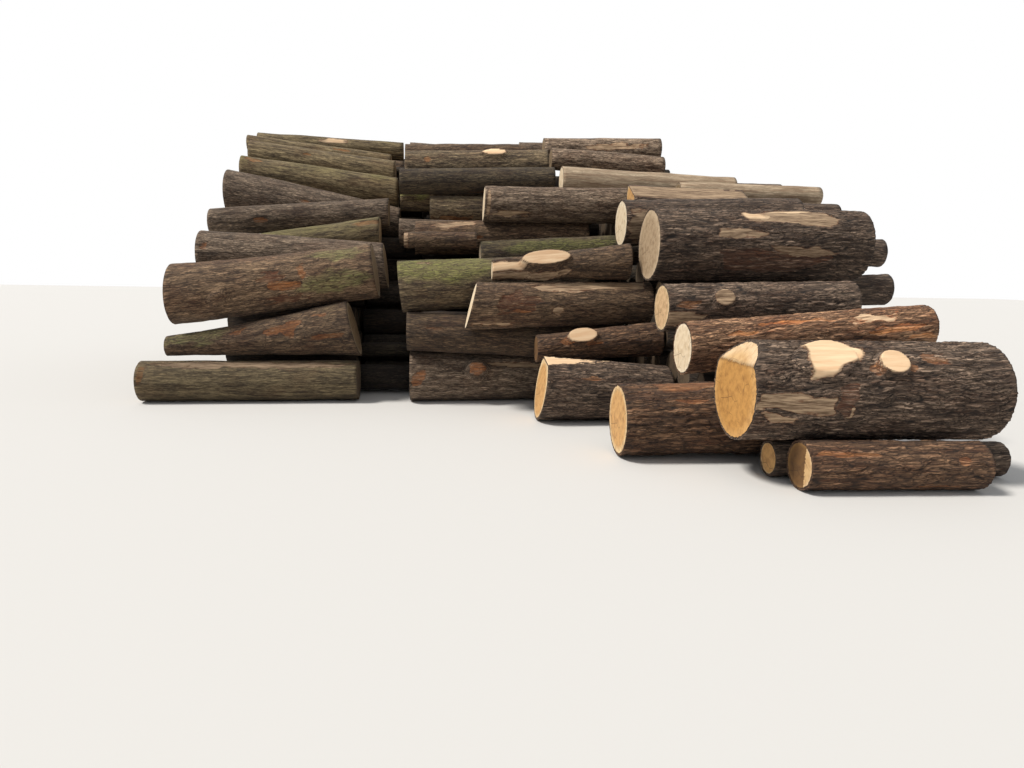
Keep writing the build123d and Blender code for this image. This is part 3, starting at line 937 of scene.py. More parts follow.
@dataclass
class LogBuilder:
    """Builds one log's closed mesh on grids and dresses it.

    Sizes are in metres. A cell is that of a noise, along and around the log. Every noise draws from
    one random source, so the order of the calls settles the log's pattern.
    """

    name: str
    shape: LogShape
    look: LogLook
    materials: MaterialShelf

    # Furrows: the noises that bend them, how far, and the cells of the coarse and fine ones.
    bend_cell: tuple[float, float] = (0.16, 0.16)
    bend: float = 0.06
    fine_bend_cell: tuple[float, float] = (0.07, 0.05)
    fine_bend: float = 0.016
    furrow_length: float = 0.34
    fine_length: float = 0.11
    plate_length: float = 0.32

    # A plate is at least this wide, and at least so many steps of the mesh.
    plate_width: float = 0.031
    plate_steps: float = 3.5

    # A furrow ends over this span of plate widths from its plate's edge. One that wanders is so deep
    # where its noise has its middle value, and loses so much for each unit off that value.
    plate_edge: tuple[float, float] = (0.04, 0.42)
    coarse_depth: float = 0.6
    coarse_slope: float = 2.4
    coarse_share: float = 0.8

    # Only a mesh with steps finer than this can show the fine furrows.
    fine_step: float = 0.012
    fine_edge: tuple[float, float] = (0.0, 0.16)
    fine_slope: float = 1.3
    fine_share: float = 0.45

    # Lumps and low waves of the trunk: the lumps' length and number round it, the shares of the
    # look's sway that they take in the middle and to either side, the waves' number and their share,
    # and the share of the relief that the fine noise takes.
    lump_length: float = 0.35
    lumps_around: int = 5
    lump_sway: tuple[float, float] = (0.45, 0.9)
    waves: tuple[int, int] = (2, 4)
    wave_sway: float = 0.7
    fine_relief: float = 0.3

    # Torn patches: the noises that let their edge wander, and how far as a share of their size.
    drift_cell: tuple[float, float] = (0.14, 0.07)
    turn_drift_cell: tuple[float, float] = (0.11, 0.05)
    oval_drift: float = 0.30
    corner_drift: float = 0.10
    drift_length: float = 0.6
    drift_width: float = 0.12

    # Old bare wood is painted a little short of 1, so that its patches break up more than a cut.
    old_wood: float = 0.86

    # Above this a mask decides what wood is shown, and over this span the furrows end in it.
    kind_edge: float = 0.15
    furrow_end: tuple[float, float] = (0.35, 0.6)

    # Relief is this share of its depth at the ends and grows to the whole over some way in.
    end_relief: float = 0.45
    end_relief_length: float = 0.10

    # A patch is this share less deep where a furrow is, and its edge falls between these masks.
    patch_furrow: float = 0.4
    patch_floor: tuple[float, float] = (0.4, 0.6)

    # A collar shows where it reaches past this share of the radius, with this share of the relief.
    collar_least: float = 0.93
    collar_relief: float = 0.8
    collar_smooth: tuple[float, float] = (0.4, 0.7)

    # How far a flat face is below its plane at the most.
    face_grain: float = 0.002

    # Moss: the cells of the damp, the share that grows below, the span of directions over which it
    # gets thicker from below to above, and the span of bare wood over which it ends.
    damp_length: float = 0.3
    damps_around: int = 6
    moss_below: float = 0.35
    moss_rise: tuple[float, float] = (-0.2, 0.95)
    moss_end: tuple[float, float] = (0.3, 0.6)

    # Sawn ends: how thick the bark is, how far it stands back and how dark it is, the ripples of
    # the saw, and how far the pith lies beside the middle.
    bark_thick: float = 0.02
    bark_back: float = 0.005
    ripple: float = 0.0006
    ripple_waves: tuple[float, float] = (25.0, 90.0)
    pith_shift: float = 0.12
    furrow_at_ends: float = 0.75

    # The hinge line of a felling cut: how dark it is and how wide.
    hinge_dark: float = 0.55
    hinge_width: float = 0.012

    def __post_init__(self) -> None:
        """Seeds the log's randomness from its name and works out its grid."""
        self.rng = np.random.default_rng(zlib.crc32(self.name.encode()))
        self.girth = TURN * ((self.shape.radius_left + self.shape.radius_right) / 2)
        self.count_along = max(3, round(self.shape.length / self.look.detail.along))
        self.count_around = max(14, round(self.girth / self.look.detail.around))

    def noise(self, u: np.ndarray, v: np.ndarray, along: float, around: float) -> np.ndarray:
        """Smooth noise whose cells are so many metres long and wide."""
        cells = (round(self.shape.length / along), round(self.girth / around))
        return smooth_noise(self.rng, u, v, cells)

    def bark_relief(self, u: np.ndarray, v: np.ndarray) -> tuple[np.ndarray, np.ndarray, np.ndarray]:
        """The furrows' depth from 0 to 1, a fine noise, and the lumps along the trunk.

        Furrows are the edges of long plates, and where smooth noise, stretched along the log and bent
        by a second noise, is near its middle value.

        Args:
            u: place along the log, 0 to 1.
            v: place round the log in whole turns.

        Returns:
            The three values, each of the shape of u.
        """
        bend = self.noise(u, v, *self.bend_cell) - 0.5
        fine_bend = self.noise(u, v, *self.fine_bend_cell) - 0.5
        weave = v + (bend * self.bend + fine_bend * self.fine_bend) / self.girth
        around_step = self.look.detail.around
        width = max(self.plate_width, around_step * self.plate_steps)
        coarse = self.noise(u, weave, self.furrow_length, width)
        fine = self.noise(u, weave, self.fine_length, width * 0.5)
        cells = (round(self.shape.length / self.plate_length), round(self.girth / width))
        plates = plate_edges(self.rng, u, weave, cells)
        wander = self.coarse_depth - self.coarse_slope * np.abs(coarse - 0.5)
        valley = np.maximum(1 - step(*self.plate_edge, plates), wander)
        fine_valley = 1 - step(*self.fine_edge, np.abs(fine - 0.5) * self.fine_slope)
        fine_share = self.fine_share if around_step < self.fine_step else 0.0
        furrow = np.clip(self.coarse_share * valley + fine_share * fine_valley, 0, 1)
        furrow = furrow * self.look.bark.value.furrow_share
        lumps = self.noise(u, v, self.lump_length, self.girth / self.lumps_around) - 0.5
        return furrow, fine, lumps

    def wear(
        self, u: np.ndarray, v: np.ndarray, x_local: np.ndarray, radius: np.ndarray
    ) -> dict[str, np.ndarray]:
        """Lays the look's patches on the log, each with an edge that two noises let wander.

        Args:
            u: place along the log, 0 to 1.
            v: place round the log in whole turns.
            x_local: metres from the log's left end.
            radius: the taper.

        Returns:
            bare, cut, depth and moss, each of the shape of u.
        """
        bare, cut, depth, moss = (np.zeros_like(u) for _ in range(4))
        drift = self.noise(u, v, *self.drift_cell) - 0.5
        turn_drift = self.noise(u, v, *self.turn_drift_cell) - 0.5
        for mark in self.look.marks:
            size = self.corner_drift if mark.corners else self.oval_drift
            x = x_local + drift * size * min(mark.length, self.drift_length)
            turn = turn_drift * 3 * size * min(mark.width, self.drift_width) / radius
            mask = mark.mask(self.shape, x, v * TURN + turn)
            if isinstance(mark, Moss):
                moss = np.maximum(moss, mask)
                continue
            bare = np.maximum(bare, mask if mark.wood is Wood.FRESH else mask * self.old_wood)
            cut = np.where(mask > self.kind_edge, mark.wood.value, cut)
            depth = np.maximum(depth, mark.depth * step(*self.patch_floor, mask))
        return {"bare": bare, "cut": cut, "depth": depth, "moss": moss}

    def surface(self) -> dict[str, np.ndarray]:
        """The bark's grid: point = axis(u) + r(u, v) (cos v, sin v), r being the taper less the relief.

        Low waves round the trunk keep the section from being a true circle. A branch collar raises r,
        and a flat face limits it.

        Returns:
            points, furrow, moss, bare and cut, each on the grid of (along, around).
        """
        shape, look = self.shape, self.look
        u, v = np.meshgrid(
            np.linspace(0, 1, self.count_along), np.arange(self.count_around) / self.count_around,
            indexing="ij",
        )
        angle = v * TURN
        x_local = u * shape.length
        radius = shape.radius_of(u)
        furrow, fine, lumps = self.bark_relief(u, v)
        low_wave = smooth_noise(self.rng, u, v, self.waves) - 0.5
        wear = self.wear(u, v, x_local, radius)
        bare, cut = wear["bare"], wear["cut"]

        furrow = furrow * (1 - step(*self.furrow_end, bare))
        near_end = np.minimum(x_local, shape.length - x_local)
        whole = step(0.0, self.end_relief_length, near_end)
        relief = look.relief * (self.end_relief + (1 - self.end_relief) * whole)
        reach = radius - relief * furrow - wear["depth"] * (1 - self.patch_furrow * furrow)
        lump_middle, lump_swing = self.lump_sway
        reach = reach - look.sway * (lump_middle + lump_swing * lumps)
        reach = reach - look.sway * self.wave_sway * (0.5 + low_wave)
        reach = reach + look.relief * self.fine_relief * (fine - 0.5)
        reach = np.minimum(reach, radius)
        for collar in look.collars:
            raised, face = collar.reach(shape, x_local, angle)
            over = (raised > reach) & (raised > radius * self.collar_least)
            smooth = np.maximum(face * (collar.wood is not None), step(*self.collar_smooth, bare))
            bark = look.relief * self.collar_relief * furrow * (1 - smooth)
            reach = np.where(over, raised - bark, reach)
            if collar.wood is not None:
                bare = np.maximum(bare * (1 - face), face * over)
                cut = np.where(face * over > self.kind_edge, collar.wood.value, cut)
        if look.flat is not None:
            limit = look.flat.limit(shape, x_local, angle) - self.face_grain * fine
            on_face = limit < reach
            reach = np.minimum(reach, limit)
            bare = np.where(on_face, 1.0, bare)
            cut = np.where(on_face, look.flat.wood.value, cut)
        furrow = furrow * (1 - step(*self.furrow_end, bare))

        centre_y, centre_z = shape.axis_of(u)
        across = -np.cos(angle)
        up = np.sin(angle)
        rise = reach * up
        x = shape.left + x_local
        x = x + np.clip(1 - 2 * u, 0, 1) * self.end_offset(-1, rise)
        x = x - np.clip(2 * u - 1, 0, 1) * self.end_offset(1, rise)
        points = np.stack([x, centre_y + reach * across, centre_z + rise], axis=-1)

        damp = self.noise(u, v, self.damp_length, self.girth / self.damps_around)
        facing_up = step(*self.moss_rise, up)
        moss = look.moss * (self.moss_below + (1 - self.moss_below) * facing_up) * (0.5 + damp)
        moss = np.clip(np.maximum(moss, wear["moss"] * (0.5 + 0.5 * damp)), 0, 1)
        moss = moss * (1 - step(*self.moss_end, bare))
        return {"points": points, "furrow": furrow, "moss": moss, "bare": bare, "cut": cut}

    def end_offset(self, side: int, rise: np.ndarray) -> np.ndarray:
        """How far an end lies inside its square plane at a height over the log's middle.

        A slant grows evenly from the end's lowest point, or from its highest if it is below 0. A
        felling cut adds a second slope above its hinge.

        Args:
            side: -1 for the left end, 1 for the right end.
            rise: metres over the log's middle.

        Returns:
            The offset in metres, of the shape of rise.
        """
        slant = self.look.slant[0 if side < 0 else 1]
        radius = self.shape.radius_left if side < 0 else self.shape.radius_right
        lean = math.tan(math.radians(abs(slant)))
        offset = lean * np.maximum(radius + (rise if slant > 0 else -rise), 0)
        if side < 0 and self.look.felling is not None:
            slope = math.tan(math.radians(self.look.felling.lean))
            offset = offset + slope * np.maximum(rise - self.look.felling.hinge, 0)
        return offset

    def end_plane(self, side: int) -> tuple[float, float]:
        """Where an end's square plane lies along X, and the height of the log's middle there.

        Args:
            side: -1 for the left end, 1 for the right end.

        Returns:
            The two measures in metres.
        """
        if side < 0:
            return self.shape.left, self.shape.centre_left[1]
        return self.shape.right, self.shape.centre_right[1]

    def pith(self, ring: np.ndarray, shift: np.ndarray, side: int) -> np.ndarray:
        """The middle of an end's year rings, a little beside its true middle.

        Args:
            ring: the end's outline, one point per place around.
            shift: how far to move it in y and z, as a share of the end's radius.
            side: -1 for the left end, 1 for the right end.

        Returns:
            The point, on the end's own plane.
        """
        pith = ring.mean(axis=0)
        pith[1:] += shift * np.ptp(ring[:, 1]) * 0.5
        plane, centre_z = self.end_plane(side)
        pith[0] = plane - side * float(self.end_offset(side, np.array(pith[2] - centre_z)))
        return pith

    def cap(self, ring: np.ndarray, pith: np.ndarray, side: int) -> np.ndarray:
        """An end's grid of rings from the bark's edge in to the last ring round the pith.

        Each ring is the end's outline drawn in towards the pith, on the end's own plane. The wood
        stands a little proud of the bark's edge, and saw ripples run across the face.

        Args:
            ring: the end's outline, one point per place around.
            pith: the middle of the year rings.
            side: -1 for the left end, 1 for the right end.

        Returns:
            Points of the inner rings, shape (rings, around, 3).
        """
        mean_radius = float(np.linalg.norm(ring - pith, axis=1).mean())
        wood = 1 - min(self.bark_thick / mean_radius, 0.2)
        inner = np.linspace(wood, 0.0, self.look.detail.rings + 1)[1:-1]
        shares = np.concatenate([[(1 + wood) / 2, wood], inner])
        grid = pith + (ring - pith)[None] * shares[:, None, None]
        plane, centre_z = self.end_plane(side)
        x = plane - side * self.end_offset(side, grid[..., 2] - centre_z)
        along_y, along_z = self.ripple_waves
        wave = np.sin(grid[..., 2] * along_z + grid[..., 1] * along_y) - 1
        ripple = self.ripple * wave * (shares < wood)[:, None]
        grid[..., 0] = x - side * (self.bark_back * (shares > wood)[:, None] - ripple)
        return grid

    def build(self) -> bpy.types.Object:
        """Joins the bark and the two ends into one closed mesh and gives it its finishes.

        Returns:
            The log's object, riding on the heap.
        """
        surface = self.surface()
        points = surface["points"]
        along, around = points.shape[:2]
        shifts = (self.rng.random((2, 2)) - 0.5) * self.pith_shift
        ends = ((-1, points[0], shifts[0]), (1, points[-1], shifts[1]))
        piths = [self.pith(ring, shift, side) for side, ring, shift in ends]
        caps = [self.cap(ring, pith, side) for (side, ring, _), pith in zip(ends, piths)]

        side_count = along * around
        cap_count = caps[0].shape[0] * around
        vertices = np.concatenate([*(grid.reshape(-1, 3) for grid in (points, *caps)), piths])
        number = np.arange(side_count).reshape(along, around)
        inner = side_count + np.arange(2 * cap_count).reshape(2, -1, around)
        left, right = np.vstack([number[:1], inner[0]]), np.vstack([number[-1:], inner[1]])
        quads = [self.quads(number), self.quads(left)[:, ::-1], self.quads(right)]
        fans = [
            self.fan(left[-1], len(vertices) - 2, flip=False),
            self.fan(right[-1], len(vertices) - 1, flip=True),
        ]
        mesh = self.mesh_from(vertices, np.concatenate(quads), np.concatenate(fans))
        slots = self.slots(vertices, quads, fans)
        mesh.polygons.foreach_set("material_index", slots.astype(np.int32))
        mesh.polygons.foreach_set("use_smooth", np.arange(len(slots)) < len(quads[0]))

        for name, at_ends in (("furrow", self.furrow_at_ends), ("moss", 0), ("bare", 0), ("cut", 0)):
            values = [surface[name].ravel(), np.full(2 * cap_count + 2, float(at_ends))]
            self.paint(mesh, name, np.concatenate(values))
        self.paint(mesh, "tone", self.tones(vertices, side_count, cap_count))
        self.paint_places(mesh, vertices, piths, side_count, cap_count)
        mesh.validate()

        piece = bpy.data.objects.new("wood_" + self.name, mesh)
        bpy.context.scene.collection.objects.link(piece)
        for kind in (self.look.bark, self.look.left_end, self.look.right_end, End.LATER_CUT_AND_LIT_FACET):
            mesh.materials.append(self.materials.get(kind))
        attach(piece, BODY)
        return piece

    def slots(
        self, vertices: np.ndarray, quads: list[np.ndarray], fans: list[np.ndarray]
    ) -> np.ndarray:
        """The material slot of each face. The two outer bands of an end are the bark's thickness.

        Args:
            vertices: the mesh's points.
            quads: the quads of the side, the left end and the right end.
            fans: the triangles at the two piths.

        Returns:
            One number of Face for each quad and triangle, in the mesh's order.
        """
        bark_count = 2 * self.count_around
        left = np.where(np.arange(len(quads[1])) < bark_count, int(Face.BARK), int(Face.LEFT_END))
        right = np.where(np.arange(len(quads[2])) < bark_count, int(Face.BARK), int(Face.RIGHT_END))
        middle = vertices[quads[1]].mean(axis=1) - (0, *self.shape.centre_left)
        sawn = left == Face.LEFT_END
        if self.look.felling is not None:
            left[sawn & (middle[:, 2] > self.look.felling.hinge)] = Face.SECOND_CUT_AND_LIT_FACET
        # Painted light: beyond shaded_end on the front side the end takes the paler later cut, for a
        # facet turned to the light that the mesh keeps flat.
        if self.look.shaded_end is not None:
            left[sawn & (-middle[:, 1] > self.look.shaded_end)] = Face.SECOND_CUT_AND_LIT_FACET
        bark = np.full(len(quads[0]), int(Face.BARK))
        tips = [np.full(len(fans[0]), int(Face.LEFT_END)), np.full(len(fans[1]), int(Face.RIGHT_END))]
        return np.concatenate([bark, left, right, *tips])

    def tones(self, vertices: np.ndarray, side_count: int, cap_count: int) -> np.ndarray:
        """The brightness of each point: on bark the log's tone, partly its own and partly painted light
        and shade; 1 on its ends; and a dark hinge line.

        Args:
            vertices: the mesh's points: the side, the two ends, the two piths.
            side_count: how many points the side has.
            cap_count: how many points each end has.

        Returns:
            One number per point.
        """
        tones = np.ones(len(vertices))
        # Painted light and shade: the bark takes the look's tone, brighter or darker than its own colour
        # where the log is lit or shaded.
        tones[:side_count] = self.look.tone
        if self.look.felling is not None:
            face = slice(side_count, side_count + cap_count)
            off = vertices[face, 2] - self.shape.centre_left[1] - self.look.felling.hinge
            tones[face] -= self.hinge_dark * np.exp(-((off / self.hinge_width) ** 2))
        return tones

    def paint_places(
        self,
        mesh: bpy.types.Mesh,
        vertices: np.ndarray,
        piths: list[np.ndarray],
        side_count: int,
        cap_count: int,
    ) -> None:
        """Stores the log's own coordinates: along and across the grain, and on each sawn face.

        Args:
            mesh: the mesh that gets them.
            vertices: its points: the side, the two ends, the two piths.
            piths: the middles of the year rings.
            side_count: how many points the side has.
            cap_count: how many points each end has.
        """
        shape = self.shape
        centre_y, centre_z = shape.axis_of((vertices[:, 0] - shape.left) / shape.length)
        shift = self.rng.random(3) * 20
        places = (vertices[:, 0] - shape.left, vertices[:, 1] - centre_y, vertices[:, 2] - centre_z)
        self.paint_vectors(mesh, "grain", np.stack(places, axis=-1) + shift)

        face = np.zeros_like(vertices)
        rim = np.ones(len(vertices))
        for end, radius in enumerate((shape.radius_left, shape.radius_right)):
            start = side_count + end * cap_count
            rows = slice(start, start + cap_count)
            place = vertices[rows] - piths[end]
            face[rows, 0] = place[:, 1]
            face[rows, 1] = place[:, 2]
            rim[rows] = np.hypot(place[:, 1], place[:, 2]) / radius
        rim[-2:] = 0
        edge = slice(0, side_count)
        face[edge, 0] = vertices[edge, 1] - centre_y[edge]
        face[edge, 1] = vertices[edge, 2] - centre_z[edge]
        self.paint_vectors(mesh, "face", face)
        self.paint(mesh, "rim", rim)

    @staticmethod
    def quads(number: np.ndarray) -> np.ndarray:
        """Quads of a grid of vertex numbers that closes in its second direction."""
        beyond = np.roll(number, -1, axis=1)
        return np.stack([number[:-1], beyond[:-1], beyond[1:], number[1:]], axis=-1).reshape(-1, 4)

    @staticmethod
    def fan(ring: np.ndarray, tip: int, flip: bool) -> np.ndarray:
        """Triangles from a closed ring to one point.

        Args:
            ring: the ring's vertex numbers.
            tip: the point's number.
            flip: whether the triangles run the other way round.

        Returns:
            The triangles, shape (n, 3).
        """
        beyond = np.roll(ring, -1)
        tips = np.full_like(ring, tip)
        order = [ring, beyond, tips] if flip else [beyond, ring, tips]
        return np.stack(order, axis=-1)

    @staticmethod
    def mesh_from(vertices: np.ndarray, quads: np.ndarray, triangles: np.ndarray) -> bpy.types.Mesh:
        """Makes a mesh from whole arrays.

        Args:
            vertices: points, shape (n, 3).
            quads: vertex numbers, shape (n, 4).
            triangles: vertex numbers, shape (n, 3).

        Returns:
            The mesh, with the quads before the triangles.
        """
        mesh = bpy.data.meshes.new("wood")
        mesh.vertices.add(len(vertices))
        mesh.vertices.foreach_set("co", vertices.astype(np.float32).ravel())
        loops = np.concatenate([quads.ravel(), triangles.ravel()]).astype(np.int32)
        mesh.loops.add(len(loops))
        mesh.loops.foreach_set("vertex_index", loops)
        starts = np.concatenate(
            [np.arange(len(quads)) * 4, len(quads) * 4 + np.arange(len(triangles)) * 3]
        ).astype(np.int32)
        mesh.polygons.add(len(starts))
        mesh.polygons.foreach_set("loop_start", starts)
        mesh.update(calc_edges=True)
        return mesh

    @staticmethod
    def paint(mesh: bpy.types.Mesh, name: str, values: np.ndarray) -> None:
        """Stores one number per vertex."""
        mesh.attributes.new(name, "FLOAT", "POINT").data.foreach_set("value", values.astype(np.float32))

    @staticmethod
    def paint_vectors(mesh: bpy.types.Mesh, name: str, values: np.ndarray) -> None:
        """Stores one vector per vertex."""
        data = mesh.attributes.new(name, "FLOAT_VECTOR", "POINT").data
        data.foreach_set("vector", values.astype(np.float32).ravel())
